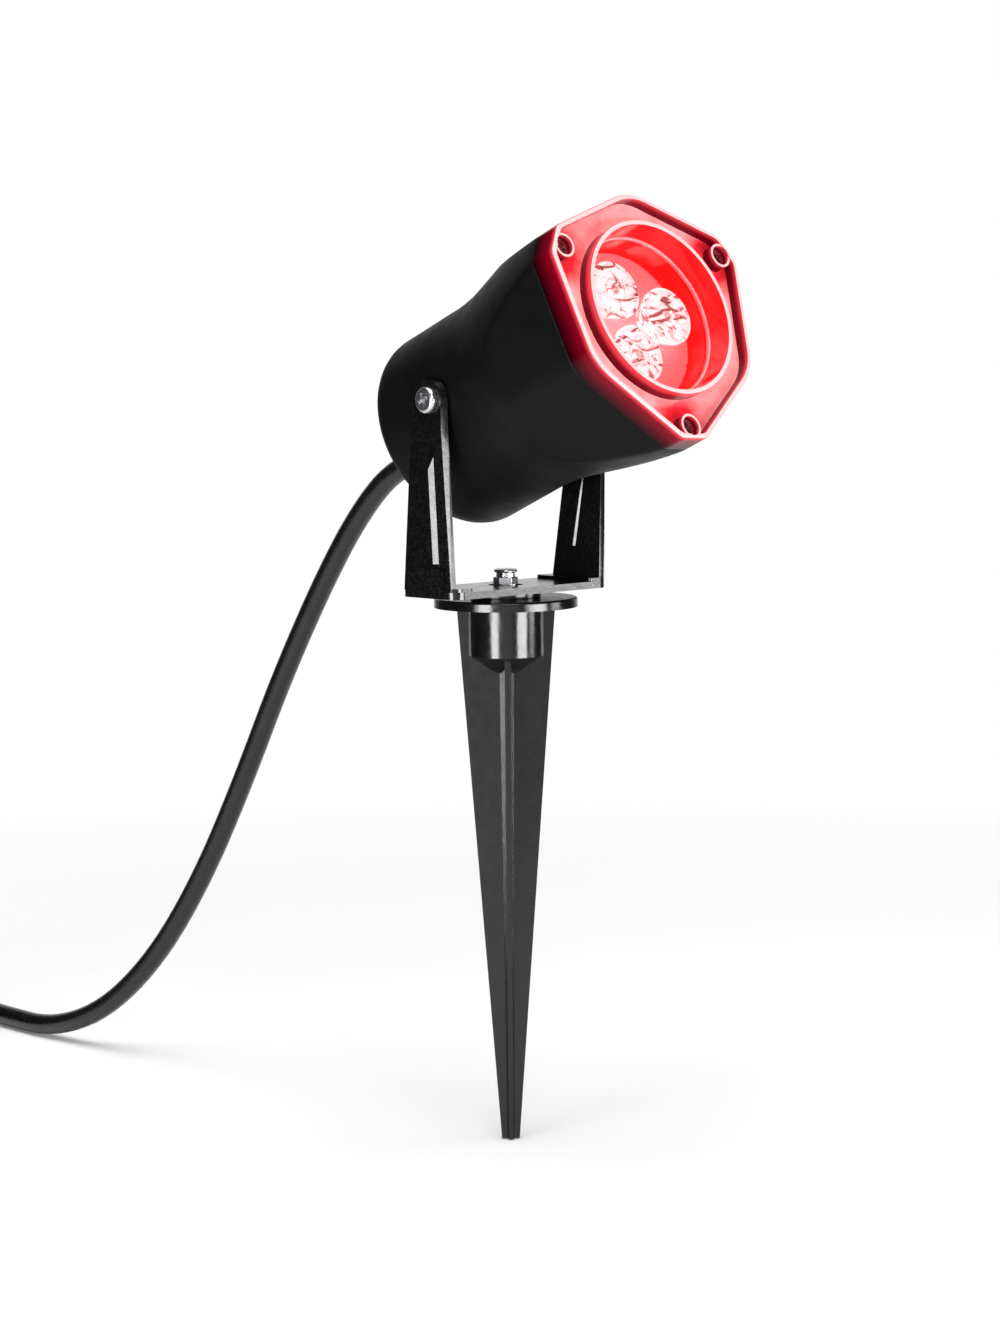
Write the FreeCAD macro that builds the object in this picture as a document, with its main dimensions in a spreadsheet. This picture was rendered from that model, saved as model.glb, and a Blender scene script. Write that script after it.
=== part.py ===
import FreeCAD, Part
import math
import os
import Sketcher
from FreeCAD import Placement, Rotation, Vector

# Garden light projector on a ground stake.
# Millimetres, +Z up.  The origin is the tip of the stake, the lamp head looks
# along -Y, and the head tilts about the X direction through the yoke pivots.
# Head pieces are drawn in the head's own frame: Z forward along the beam,
# X to the right seen from the front, Y up; its origin is the pivot axis.

doc = FreeCAD.newDocument("light_projector_stake")
sheet = doc.addObject("Spreadsheet::Sheet", "Sizes")
sheet.Label = "Sizes"


class Q:
    """A driving size: a number and the spreadsheet expression that gives it."""

    def __init__(self, value, text):
        self.v = float(value)
        self.t = text

    @staticmethod
    def of(x):
        return x if isinstance(x, Q) else Q(x, repr(round(float(x), 6)))

    def __add__(self, o):
        o = Q.of(o)
        return Q(self.v + o.v, "(%s + %s)" % (self.t, o.t))

    __radd__ = __add__

    def __sub__(self, o):
        o = Q.of(o)
        return Q(self.v - o.v, "(%s - %s)" % (self.t, o.t))

    def __rsub__(self, o):
        return Q.of(o) - self

    def __mul__(self, o):
        o = Q.of(o)
        return Q(self.v * o.v, "(%s * %s)" % (self.t, o.t))

    __rmul__ = __mul__

    def __truediv__(self, o):
        o = Q.of(o)
        return Q(self.v / o.v, "(%s / %s)" % (self.t, o.t))

    def __neg__(self):
        return Q(-self.v, "(-1 * %s)" % self.t)


row = [1]


def cell(name, value, note=""):
    r = row[0]
    sheet.set("A%d" % r, name)
    sheet.set("B%d" % r, "%.10g" % value)
    sheet.set("C%d" % r, note)
    sheet.setAlias("B%d" % r, name)
    row[0] += 1
    return Q(value, "Sizes.%s" % name)


# ---------------------------------------------------------------- the sizes
stake_len = cell("stake_len", 175.9, "tip to the underside of the disc")
fin_tip = cell("fin_tip", 2.9, "half width of the cross at the tip")
fin_top = cell("fin_top", 16.0, "half width of the wide fins under the disc")
fin_front = cell("fin_front", 11.2, "half width of the narrow fins there, inside the hub")
fin_edge = cell("fin_edge", 2.1, "thickness of a fin at its outer edge")
fin_root = cell("fin_root", 2.5, "half thickness of a fin at its root")
fin_turn = cell("fin_turn", 49.0, "turn of the cross about Z, degrees")
hub_rad = cell("hub_rad", 12.2)
hub_low = cell("hub_low", 160.0, "bottom of the hub's cylinder")
cone_low = cell("cone_low", 154.3, "bottom of the hub's cone")
core_rad = cell("core_rad", 3.8)
disc_rad = cell("disc_rad", 23.4)
disc_thk = cell("disc_thk", 3.1)
bolt_rad = cell("bolt_rad", 1.95, "swivel bolt, M4")
bolt_bore = cell("bolt_bore", 2.03)
bolt_seat = cell("bolt_seat", 163.0, "top of the moulded-in bolt head")
bolt_head_thk = cell("bolt_head_thk", 3.5)
washer_thk = cell("washer_thk", 1.6, "spacer between disc and yoke")
gap = cell("gap", 0.1, "clearance between faces that turn on each other")
base_thk = cell("base_thk", 2.3)
base_len = cell("base_len", 69.2)
base_wid = cell("base_wid", 26.4)
arm_out = cell("arm_out", 36.5, "outer face of an arm at the pivot")
arm_in = cell("arm_in", 34.1, "inner face of an arm at the pivot")
arm_splay = cell("arm_splay", 2.2, "the arms stand closer at the base by this much each")
arm_foot = cell("arm_foot", 11.0, "half width of an arm at the base")
arm_top = cell("arm_top", 6.35, "half width of an arm at the pivot")
pivot_z = cell("pivot_z", 243.9)
pivot_y = cell("pivot_y", -3.8, "pivot, forward of the stake's axis")
nut_sink = cell("nut_sink", 0.6, "recess in the base for the swivel nut")
rib_out = cell("rib_out", 1.4, "height of the outer rib")
rib_in = cell("rib_in", 0.5, "height of the inner rib")
foot_up = cell("foot_up", 7.4, "height of the raised panels at the feet")
tilt_bolt = cell("tilt_bolt", 2.0, "tilt screw shank radius")
tilt_hole = cell("tilt_hole", 2.07, "hole in the arms")
head_tilt = cell("head_tilt", 23.0, "beam above the horizontal, degrees")
rear_rad = cell("rear_rad", 33.1)
rear_end = cell("rear_end", 32.1, "pivot to the rear edge")
rear_round = cell("rear_round", 6.0)
flare_from = cell("flare_from", 2.0)
spot_x = cell("spot_x", 32.6, "spot faces under the pivot washers")
bore = cell("bore", 34.5, "housing bore behind the lens")
front = cell("front", 63.4, "pivot to the housing's front face")
lens_thk = cell("lens_thk", 9.4, "lens cover, flange to lip")
lens_tray = cell("lens_tray", 4.3, "lip down to the face behind it")
lens_well = cell("lens_well", 7.3, "lip down to the round window")
screw_flat = cell("screw_flat", 43.3, "axis to the short flats at the screws")
screw_half = cell("screw_half", 5.2, "half length of those flats")
corner_rad = cell("corner_rad", 39.7, "axis to the three plain corners")
corner_fil = cell("corner_fil", 18.0)
outline_turn = cell("outline_turn", -3.0, "turn of the lens outline about the axis, degrees")
flat_fil = cell("flat_fil", 4.0)
screw_pcr = cell("screw_pcr", 39.0, "lens screws, circle radius")
optic_pcr = cell("optic_pcr", 12.4, "light points, circle radius")
optic_rad = cell("optic_rad", 9.5)
gland_drop = cell("gland_drop", 1.5, "cord entry below the head's axis")
cord_rad = cell("cord_rad", 3.75)
coil_x = cell("coil_x", -38.0)
coil_y = cell("coil_y", 338.0)
coil_in = cell("coil_in", 29.5, "inner radius of the coil")
coil_out = cell("coil_out", 44.5, "outer radius of the coil")
coil_low = cell("coil_low", 1.2)
coil_thk = cell("coil_thk", 22.5, "three layers of cord")
doc.recompute()

disc_top = stake_len + disc_thk
base_low = disc_top + washer_thk + gap
base_top = base_low + base_thk

fwd = front - 65.5
failed = []


# ---------------------------------------------------------------- helpers
def plane(body, role):
    return [o for o in body.Origin.OriginFeatures if o.Role == role][0]


def body(label):
    b = doc.addObject("PartDesign::Body", "B_" + label)
    b.Label = label
    return b


def sketch(b, role="XY_Plane", at=None):
    s = b.newObject("Sketcher::SketchObject", "S_" + b.Label)
    s.AttachmentSupport = (plane(b, role), [""])
    s.MapMode = "FlatFace"
    if at is not None:
        at = Q.of(at)
        s.AttachmentOffset = Placement(Vector(0, 0, at.v), Rotation())
        s.setExpression("AttachmentOffset.Base.z", at.t)
    return s


def fix(s, geo, pt, x, y):
    for kind, q in (("DistanceX", Q.of(x)), ("DistanceY", Q.of(y))):
        if abs(q.v) < 1e-9:
            k = s.addConstraint(Sketcher.Constraint(
                "PointOnObject", geo, pt, -2 if kind == "DistanceX" else -1))
            continue
        if q.v > 0:
            k = s.addConstraint(Sketcher.Constraint(kind, -1, 1, geo, pt, q.v))
            s.setExpression("Constraints[%d]" % k, q.t)
        else:
            k = s.addConstraint(Sketcher.Constraint(kind, geo, pt, -1, 1, -q.v))
            s.setExpression("Constraints[%d]" % k, (-q).t)


def poly(s, pts):
    """Closed outline of straight runs, every corner bound to the sheet."""
    pts = [(Q.of(x), Q.of(y)) for x, y in pts]
    n = len(pts)
    g = [s.addGeometry(Part.LineSegment(
        Vector(pts[i][0].v, pts[i][1].v, 0),
        Vector(pts[(i + 1) % n][0].v, pts[(i + 1) % n][1].v, 0)), False)
        for i in range(n)]
    for i in range(n):
        s.addConstraint(Sketcher.Constraint("Coincident", g[i], 2, g[(i + 1) % n], 1))
    for i in range(n):
        fix(s, g[i], 1, *pts[i])
    return s


def circ(s, x, y, r):
    x, y, r = Q.of(x), Q.of(y), Q.of(r)
    g = s.addGeometry(Part.Circle(Vector(x.v, y.v, 0), Vector(0, 0, 1), r.v), False)
    fix(s, g, 3, x, y)
    k = s.addConstraint(Sketcher.Constraint("Radius", g, r.v))
    s.setExpression("Constraints[%d]" % k, r.t)
    return s


def rounded(s, pts, rads):
    """Outline whose sharp corners are bound to the sheet and then rounded."""
    pts = [(Q.of(x), Q.of(y)) for x, y in pts]
    rads = [Q.of(r) for r in rads]
    n = len(pts)
    p3 = [Vector(x.v, y.v, 0) for x, y in pts]
    ends, mids = [], []
    for i in range(n):
        a = (p3[i - 1] - p3[i]).normalize()
        c = (p3[(i + 1) % n] - p3[i]).normalize()
        half = a.getAngle(c) / 2
        t = rads[i].v / math.tan(half)
        ends.append((p3[i] + a * t, p3[i] + c * t))
        mids.append(p3[i] + (a + c).normalize() * (rads[i].v / math.sin(half)))
    guide = [s.addGeometry(Part.LineSegment(p3[i], p3[(i + 1) % n]), True) for i in range(n)]
    line = [s.addGeometry(Part.LineSegment(ends[i][1], ends[(i + 1) % n][0]), False) for i in range(n)]
    arcs = []
    for i in range(n):
        c = mids[i]
        a0 = math.atan2(ends[i][0].y - c.y, ends[i][0].x - c.x)
        a1 = math.atan2(ends[i][1].y - c.y, ends[i][1].x - c.x)
        ccw = (a1 - a0) % (2 * math.pi) < math.pi
        if not ccw:
            a0, a1 = a1, a0
        if a1 < a0:
            a1 += 2 * math.pi
        arc = Part.ArcOfCircle(Part.Circle(c, Vector(0, 0, 1), rads[i].v), a0, a1)
        arcs.append((s.addGeometry(arc, False), ccw))
    for i in range(n):
        s.addConstraint(Sketcher.Constraint("Coincident", guide[i], 2, guide[(i + 1) % n], 1))
    for i in range(n):
        fix(s, guide[i], 1, *pts[i])
    for i in range(n):
        s.addConstraint(Sketcher.Constraint("PointOnObject", line[i], 1, guide[i]))
        s.addConstraint(Sketcher.Constraint("PointOnObject", line[i], 2, guide[i]))
    for i in range(n):
        g, ccw = arcs[i]
        st, en = (1, 2) if ccw else (2, 1)
        s.addConstraint(Sketcher.Constraint("Tangent", line[i - 1], 2, g, st))
        s.addConstraint(Sketcher.Constraint("Tangent", g, en, line[i], 1))
        k = s.addConstraint(Sketcher.Constraint("Radius", g, rads[i].v))
        s.setExpression("Constraints[%d]" % k, rads[i].t)
    return s


def solid(b, kind, s, grows, **kw):
    """Adds a feature and checks that it adds, or cuts, material."""
    doc.recompute()
    before = b.Shape.Volume if b.Tip is not None and not b.Shape.isNull() else 0.0
    f = b.newObject("PartDesign::" + kind, kind + "_" + b.Label)
    if s is not None:
        f.Profile = s
    for k, v in kw.items():
        if isinstance(v, Q):
            setattr(f, k, v.v)
            f.setExpression(k, v.t)
        else:
            setattr(f, k, v)
    b.Tip = f
    doc.recompute()
    if "Invalid" in f.State or f.Shape.isNull() or not f.Shape.isValid():
        failed.append("%s of %s: %s" % (f.Name, b.Label, f.State))
        return f
    change = b.Shape.Volume - before
    if (change < 1e-3) if grows else (change > -1e-3):
        failed.append("%s of %s changes the volume by %.3f" % (f.Name, b.Label, change))
    return f


def pad(b, s, length, **kw):
    return solid(b, "Pad", s, True, Length=Q.of(length), **kw)


def pocket(b, s, length=None, **kw):
    if length is None:
        return solid(b, "Pocket", s, False, Type="ThroughAll", **kw)
    return solid(b, "Pocket", s, False, Length=Q.of(length), **kw)


def turn(b, s, axis="V_Axis"):
    return solid(b, "Revolution", s, True, ReferenceAxis=(s, [axis]), Angle=360.0)


def groove(b, s, axis="V_Axis"):
    return solid(b, "Groove", s, False, ReferenceAxis=(s, [axis]), Angle=360.0)


def polar(b, feats, n):
    return solid(b, "PolarPattern", None, True, Originals=feats,
                 Axis=(plane(b, "Z_Axis"), [""]), Angle=360.0, Occurrences=n)


def polar_cut(b, feats, n):
    return solid(b, "PolarPattern", None, False, Originals=feats,
                 Axis=(plane(b, "Z_Axis"), [""]), Angle=360.0, Occurrences=n)


def mirrored(b, feats, role="YZ_Plane", grows=True):
    return solid(b, "Mirrored", None, grows, Originals=feats,
                 MirrorPlane=(plane(b, role), [""]))


def edges(f, test):
    out = []
    for i, e in enumerate(f.Shape.Edges):
        lo, hi = e.FirstParameter, e.LastParameter
        m = e.valueAt((lo + hi) / 2)
        if test(e, m):
            out.append("Edge%d" % (i + 1))
    return out


def dress(b, kind, f, test, size):
    names = edges(f, test)
    if not names:
        failed.append("%s: no edge for a %s" % (b.Label, kind))
        return f
    size = Q.of(size)
    kw = {"Radius": size} if kind == "Fillet" else {"Size": size}
    g = b.newObject("PartDesign::" + kind, kind + "_" + b.Label)
    g.Base = (f, names)
    for k, v in kw.items():
        setattr(g, k, v.v)
        g.setExpression(k, v.t)
    b.Tip = g
    doc.recompute()
    if "Invalid" in g.State or g.Shape.isNull() or not g.Shape.isValid():
        failed.append("%s of %s: %s" % (g.Name, b.Label, g.State))
    return g


nodes = []


def done(obj, where=None):
    if where == "head":
        obj.Placement = Placement(Vector(0, pivot_y.v, pivot_z.v), Rotation(Vector(1, 0, 0), 90 - head_tilt.v))
        obj.setExpression("Placement.Base.y", pivot_y.t)
        obj.setExpression("Placement.Base.z", pivot_z.t)
        obj.setExpression("Placement.Rotation.Angle", (90 - head_tilt).t)
    elif where == "stake":
        obj.Placement = Placement(Vector(0, 0, 0), Rotation(Vector(0, 0, 1), fin_turn.v))
        obj.setExpression("Placement.Rotation.Angle", fin_turn.t)
    nodes.append(obj)
    return obj


def ring(label, r0, r1, z0, z1, where=None):
    """A washer, tube or plain disc between two heights."""
    b = body(label)
    s = sketch(b, "XZ_Plane")
    poly(s, [(r0, z0), (r1, z0), (r1, z1), (r0, z1)])
    turn(b, s)
    return done(b, where)


def hexagon(s, across, cx=0.0, cy=0.0, turn_deg=0.0):
    across = Q.of(across)
    r = across / math.sqrt(3)
    pts = []
    for i in range(6):
        a = math.radians(60 * i + turn_deg)
        pts.append((r * math.cos(a) + cx, r * math.sin(a) + cy))
    return poly(s, pts)


# ================================================================ the stake
b = body("ground_stake")


def cross(s, wide, narrow, te, rr):
    te2 = te / 2
    pts = []
    for k in range(4):
        w = wide if k % 2 else narrow
        quarter = [(rr, -rr), (w, -te2), (w, te2)]
        for x, y in quarter:
            x, y = Q.of(x), Q.of(y)
            for _ in range(k):
                x, y = -y, x
            pts.append((x, y))
    return poly(s, pts)


s0 = cross(sketch(b), fin_tip, fin_tip, fin_edge * 0.7, fin_root * 0.45)
s1 = cross(sketch(b, at=stake_len), fin_top, fin_front, fin_edge, fin_root)
f = b.newObject("PartDesign::AdditiveLoft", "Loft_ground_stake")
f.Profile = s0
f.Sections = [s1]
f.Ruled = True
b.Tip = f
doc.recompute()
s = sketch(b, "XZ_Plane")
poly(s, [(0, cone_low), (core_rad, cone_low), (hub_rad, hub_low), (hub_rad, stake_len),
         (disc_rad, stake_len), (disc_rad, disc_top), (0, disc_top)])
f = turn(b, s)
f = dress(b, "Fillet", f, lambda e, m: abs(m.z - disc_top.v) < 1e-3 and
          abs(math.hypot(m.x, m.y) - disc_rad.v) < 1e-3, 0.8)
s = sketch(b, "XZ_Plane")
poly(s, [(0, bolt_seat - bolt_head_thk), (4.15, bolt_seat - bolt_head_thk), (4.15, bolt_seat),
         (bolt_bore, bolt_seat), (bolt_bore, disc_top + 1), (0, disc_top + 1)])
groove(b, s)
done(b, "stake")

# the swivel: a bolt moulded into the hub, washers, nut and locking cap
stub = base_top - nut_sink + gap
b = body("swivel_bolt")
s = hexagon(sketch(b, at=bolt_seat - bolt_head_thk), 7.0)
pad(b, s, bolt_head_thk)
s = circ(sketch(b, at=bolt_seat), 0, 0, bolt_rad)
f = pad(b, s, stub + 5.0 - bolt_seat)
dress(b, "Chamfer", f, lambda e, m: abs(m.z - (stub.v + 5.0)) < 1e-3, 0.5)
done(b)
ring("swivel_washer", bolt_bore, 11.5, disc_top, disc_top + washer_thk)
ring("lock_washer", bolt_bore, 3.9, stub, stub + 0.8)
b = body("swivel_nut")
s = hexagon(sketch(b, at=stub + 0.8), 7.0, turn_deg=15.0)
circ(s, 0, 0, bolt_bore)
f = pad(b, s, 2.3)
dress(b, "Chamfer", f, lambda e, m: m.z > stub.v + 3.05 and e.Length > 3.5 and e.Length < 6, 0.3)
done(b)
b = body("bolt_cap")
s = sketch(b, "XZ_Plane")
z = stub + 3.1
poly(s, [(bolt_bore, z), (3.1, z), (3.0, z + 1.4), (3.65, z + 1.6), (3.85, z + 1.95), (3.7, z + 2.4),
         (3.0, z + 2.65), (0, z + 2.75), (0, z + 2.1), (bolt_bore, z + 2.1)])
turn(b, s)
done(b)

# ================================================================ the yoke
b = body("yoke")
hl, hw = base_len / 2, base_wid / 2
s = rounded(sketch(b, at=base_low), [(-hl, -hw), (hl, -hw), (hl, hw), (-hl, hw)], [4.5] * 4)
f0 = pad(b, s, base_thk)
run = pivot_z - base_top
knee = pivot_z - 9.0
half = []
# an arm: a plate that splays outwards up to a straight part round the pivot
s = poly(sketch(b, "XZ_Plane"), [
    (arm_in - arm_splay, base_top), (arm_out - arm_splay, base_top), (arm_out, knee), (arm_out, pivot_z + 8.0),
    (arm_in, pivot_z + 8.0), (arm_in, knee)])
half.append(pad(b, s, 40.0, Midplane=True))
s = rounded(sketch(b, "YZ_Plane", at=arm_in - arm_splay - 1.0), [
    (-24.0, base_top), (-arm_foot, base_top), (pivot_y - arm_top, pivot_z + arm_top), (pivot_y + arm_top, pivot_z + arm_top),
    (arm_foot, base_top), (24.0, base_top), (24.0, pivot_z + 12.0), (-24.0, pivot_z + 12.0)],
    [0.2, 0.2, arm_top - 0.5, arm_top - 0.5, 0.2, 0.2, 0.2, 0.2])
half.append(pocket(b, s, 12.0, Reversed=True))
slope = (arm_foot - arm_top) / run
lean = pivot_y / run


def front_y(drop):
    return pivot_y - lean * drop - (arm_top + slope * drop)


def back_y(drop):
    return pivot_y - lean * drop + (arm_top + slope * drop)


def face_x(drop):
    """How far the arm's faces stand in from the pivot's, at a height below it."""
    return arm_splay * (Q.of(drop) - 9.0) / (run - 9.0)


# outer rib beside the front edge, cut back to an even height
s = poly(sketch(b, "YZ_Plane", at=arm_in - 0.6),
         [(front_y(18.0) + 4.9, pivot_z - 18.0), (front_y(52.0) + 4.9, pivot_z - 52.0),
          (front_y(52.0) + 8.0, pivot_z - 52.0), (front_y(18.0) + 8.0, pivot_z - 18.0)])
half.append(pad(b, s, 7.0))
s = poly(sketch(b, "XZ_Plane"), [
    (arm_out + rib_out - face_x(52.5), pivot_z - 52.5), (44.0, pivot_z - 52.5), (44.0, pivot_z - 17.5),
    (arm_out + rib_out - 0.6 - face_x(17.5), pivot_z - 17.5), (arm_out + rib_out - face_x(22.0), pivot_z - 22.0)])
half.append(pocket(b, s, 60.0, Midplane=True))
# inner rib beside the back edge
s = poly(sketch(b, "YZ_Plane", at=arm_in - 4.0),
         [(back_y(20.0) - 9.0, pivot_z - 20.0), (back_y(50.0) - 9.0, pivot_z - 50.0),
          (back_y(50.0) - 6.6, pivot_z - 50.0), (back_y(20.0) - 6.6, pivot_z - 20.0)])
half.append(pad(b, s, 5.0))
s = poly(sketch(b, "XZ_Plane"), [
    (arm_in - rib_in - face_x(50.5), pivot_z - 50.5), (arm_in - rib_in - face_x(19.5), pivot_z - 19.5),
    (24.0, pivot_z - 19.5), (24.0, pivot_z - 50.5)])
half.append(pocket(b, s, 60.0, Midplane=True))
# raised panel on the outside of the foot, and a low lip round its bottom
s = poly(sketch(b, "XZ_Plane"), [
    (arm_out - 0.8 - arm_splay, base_top + 0.1), (arm_out + 0.35 - arm_splay, base_top + 0.1),
    (arm_out + 0.45 - face_x(run - foot_up), base_top + foot_up), (arm_out - 0.8 - face_x(run - foot_up), base_top + foot_up)])
half.append(pad(b, s, 17.0, Midplane=True))
s = rounded(sketch(b, at=base_top - 0.2), [(26.0, -hw + 0.5), (hl, -hw + 0.5), (hl, hw - 0.5), (26.0, hw - 0.5)], [1.0, 4.0, 4.0, 1.0])
half.append(pad(b, s, 1.3))
f = mirrored(b, half)
s = circ(sketch(b, "YZ_Plane"), pivot_y, pivot_z, tilt_hole)
f = pocket(b, s, 90.0, Midplane=True)
s = circ(sketch(b, at=base_low - 1), 0, 0, bolt_rad + 0.08)
f = solid(b, "Pocket", s, False, Length=base_thk + 2, Reversed=True)
s = circ(sketch(b, at=base_top + 1), 0, 0, 5.6)
f = pocket(b, s, nut_sink + 1)
done(b)

# ================================================================ the head
sx = screw_pcr * math.sin(math.radians(outline_turn.v))
sy = -1 * screw_pcr * math.cos(math.radians(outline_turn.v))


def head_outline(s, inset=0.0):
    """The lens and housing outline: three screw flats and three plain corners."""
    pts, rads = [], []
    fl, cr = screw_flat - inset, corner_rad - inset * 1.12
    for k in range(3):
        a = math.radians(-90 + 120 * k + outline_turn.v)
        u = (round(math.cos(a), 12), round(math.sin(a), 12))
        hh = screw_half - inset * 0.3
        pts += [(fl * u[0] + hh * u[1], fl * u[1] - hh * u[0]),
                (fl * u[0] - hh * u[1], fl * u[1] + hh * u[0])]
        rads += [flat_fil, flat_fil]
        a = math.radians(-30 + 120 * k + outline_turn.v)
        pts.append((cr * math.cos(a), cr * math.sin(a)))
        rads.append(corner_fil - inset)
    return rounded(s, pts, rads)


b = body("rear_housing")
s = sketch(b, "XZ_Plane")
poly(s, [(0, -rear_end - 1.2), (14, -rear_end - 0.9), (26, -rear_end), (rear_rad, -rear_end), (rear_rad, flare_from),
         (rear_rad + 0.3, 7.0), (rear_rad + 0.95, 13.0), (rear_rad + 2.1, 19.0), (rear_rad + 3.4, 25.0),
         (rear_rad + 4.75, 31.0), (rear_rad + 6.05, 37.0), (rear_rad + 7.4, 44.0), (rear_rad + 8.6, 51.0),
         (rear_rad + 9.9, 59.0), (rear_rad + 10.6, front), (0, front)])
f = turn(b, s)
f = dress(b, "Fillet", f, lambda e, m: abs(m.z + rear_end.v) < 1e-3 and
          abs(math.hypot(m.x, m.y) - rear_rad.v) < 1e-3, rear_round)
s = sketch(b, at=front + 1)
circ(s, 0, 0, 60.0)
head_outline(s)
f = pocket(b, s, front + 40)
# hollow inside, with the ledge that the heat sink rests on
s = sketch(b, "XZ_Plane")
poly(s, [(0, -rear_end + 2.2), (26.0, -rear_end + 2.2), (30.6, -23.0), (30.6, 9.0), (31.6, 16.0), (33.5, 28.0), (34.2, 38.0),
         (34.2, 41.5 + fwd), (32.0, 42.0 + fwd), (32.0, 45.9 + fwd), (bore, 45.9 + fwd), (bore, front + 1), (0, front + 1)])
f = groove(b, s)
# inside, a flat boss behind each pivot for the captive nut
side = []
s = sketch(b, at=-8.0)
wall_r, wall_x = rear_rad - 0.5, rear_rad - 5.0
a = math.acos(wall_x.v / wall_r.v)
g0 = s.addGeometry(Part.ArcOfCircle(Part.Circle(Vector(0, 0, 0), Vector(0, 0, 1), wall_r.v), -a, a), False)
g1 = s.addGeometry(Part.LineSegment(Vector(wall_x.v, wall_r.v * math.sin(a), 0), Vector(wall_x.v, -wall_r.v * math.sin(a), 0)), False)
s.addConstraint(Sketcher.Constraint("Coincident", g0, 2, g1, 1))
s.addConstraint(Sketcher.Constraint("Coincident", g1, 2, g0, 1))
s.addConstraint(Sketcher.Constraint("Coincident", g0, 3, -1, 1))
s.addConstraint(Sketcher.Constraint("Vertical", g1))
k = s.addConstraint(Sketcher.Constraint("Radius", g0, wall_r.v))
s.setExpression("Constraints[%d]" % k, wall_r.t)
k = s.addConstraint(Sketcher.Constraint("DistanceX", -1, 1, g1, 1, wall_x.v))
s.setExpression("Constraints[%d]" % k, wall_x.t)
side.append(pad(b, s, 16.0))
f = mirrored(b, side)
# outside, a round spot face under each pivot washer
s = circ(sketch(b, "YZ_Plane", at=spot_x), 0, 0, 7.0)
f = solid(b, "Pocket", s, False, Length=Q.of(6.0), Reversed=True)
f = mirrored(b, [f], grows=False)
# tilt screw holes, cord entry, board posts and screw holes
s = circ(sketch(b, "YZ_Plane"), 0, 0, 2.05)
f = pocket(b, s, 80.0, Midplane=True)
s = circ(sketch(b, at=-rear_end - 4), 0, -gland_drop, 5.6)
f = solid(b, "Pocket", s, False, Length=Q.of(9.0), Reversed=True)
post = []
s = circ(sketch(b, at=-rear_end + 1.0), 0, 20.0, 3.0)
post.append(pad(b, s, rear_end + 7.0))
f = polar(b, post, 3)
s = circ(sketch(b, at=8.1), 0, 20.0, 1.2)
f = pocket(b, s, 10.0)
f = polar_cut(b, [f], 3)
s = circ(sketch(b, at=front + 1), sx, sy, 1.25)
f = pocket(b, s, 13.0)
f = polar_cut(b, [f], 3)
s = sketch(b, at=front + 1)
circ(s, 0, 0, bore + 0.5)
circ(s, 0, 0, bore + 1.9)
f = pocket(b, s, 2.0)
done(b, "head")

ring("lens_gasket", bore + 0.6, bore + 1.8, front - 1.0, front, "head")

b = body("lens_cover")
plate = front + lens_thk
s = head_outline(sketch(b, at=front), -0.0)
f = pad(b, s, lens_thk)
f = dress(b, "Fillet", f, lambda e, m: abs(m.z - plate.v) < 1e-3, 1.0)
# the face is a shallow tray behind a narrow lip
s = sketch(b, at=plate + 1)
head_outline(s, 1.6)
circ(s, 0, 0, 29.0)
f = pocket(b, s, lens_tray + 1)
# ring round the deep round window, standing a little above the lip
s = sketch(b, at=plate - 0.5)
circ(s, 0, 0, 27.0)
circ(s, 0, 0, 29.0)
f = pad(b, s, 1.5)
s = poly(sketch(b, "XZ_Plane"), [(0, plate + 2), (27.6, plate + 2), (27.6, plate), (26.9, plate - lens_well + 0.4),
                                (26.5, plate - lens_well), (0, plate - lens_well)])
f = groove(b, s)
# hollow behind: under the window and between the ring's wall and the seal
s = poly(sketch(b, "XZ_Plane"), [(0, front - 1), (29.0, front - 1), (29.0, front + 0.4), (0, front + 0.4)])
f = groove(b, s)
s = poly(sketch(b, "XZ_Plane"), [(28.9, front - 1), (bore, front - 1), (bore, plate - 5.9), (28.9, plate - 5.9)])
f = groove(b, s)
# counterbored bosses for the three screws
boss = [pad(b, circ(sketch(b, at=plate - lens_tray - 0.5), sx, sy, 4.0), lens_tray + 0.1)]
f = polar(b, boss, 3)
s = circ(sketch(b, at=plate + 2), sx, sy, 3.2)
f = pocket(b, s, 6.0)
f = polar_cut(b, [f], 3)
s = circ(sketch(b, at=plate + 2), sx, sy, 1.6)
f = pocket(b, s, 14.0)
f = polar_cut(b, [f], 3)
done(b, "head")

b = body("lens_screws")
z = plate - 4.0
s = circ(sketch(b, at=z), sx, sy, 2.8)
f0 = pad(b, s, 1.8)
s = circ(sketch(b, at=z + 1.8), sx, sy, 1.15)
f1 = solid(b, "Pad", s, True, Length=Q.of(13.5), Reversed=True)
f2 = []
for w, l in ((0.75, 3.4), (3.4, 0.75)):
    s = poly(sketch(b, at=z + 1.8), [(sx - w / 2, sy - l / 2), (sx + w / 2, sy - l / 2),
                                    (sx + w / 2, sy + l / 2), (sx - w / 2, sy + l / 2)])
    f2.append(pocket(b, s, 1.2))
f = solid(b, "PolarPattern", None, True, Originals=[f0, f1] + f2,
          Axis=(plane(b, "Z_Axis"), [""]), Angle=360.0, Occurrences=3)
done(b, "head")

# light well around the three optics
b = body("light_cup")
s = sketch(b, "XZ_Plane")
poly(s, [(28.7, 50.2 + fwd), (bore - 0.4, 50.2 + fwd), (bore - 0.4, 52.2 + fwd), (29.6, 52.6 + fwd), (27.8, 65.2 + fwd), (26.2, 65.2 + fwd), (26.2, 64.0 + fwd),
         (25.6, 53.4 + fwd), (28.7, 53.0 + fwd)])
f = turn(b, s)
done(b, "head")

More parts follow.
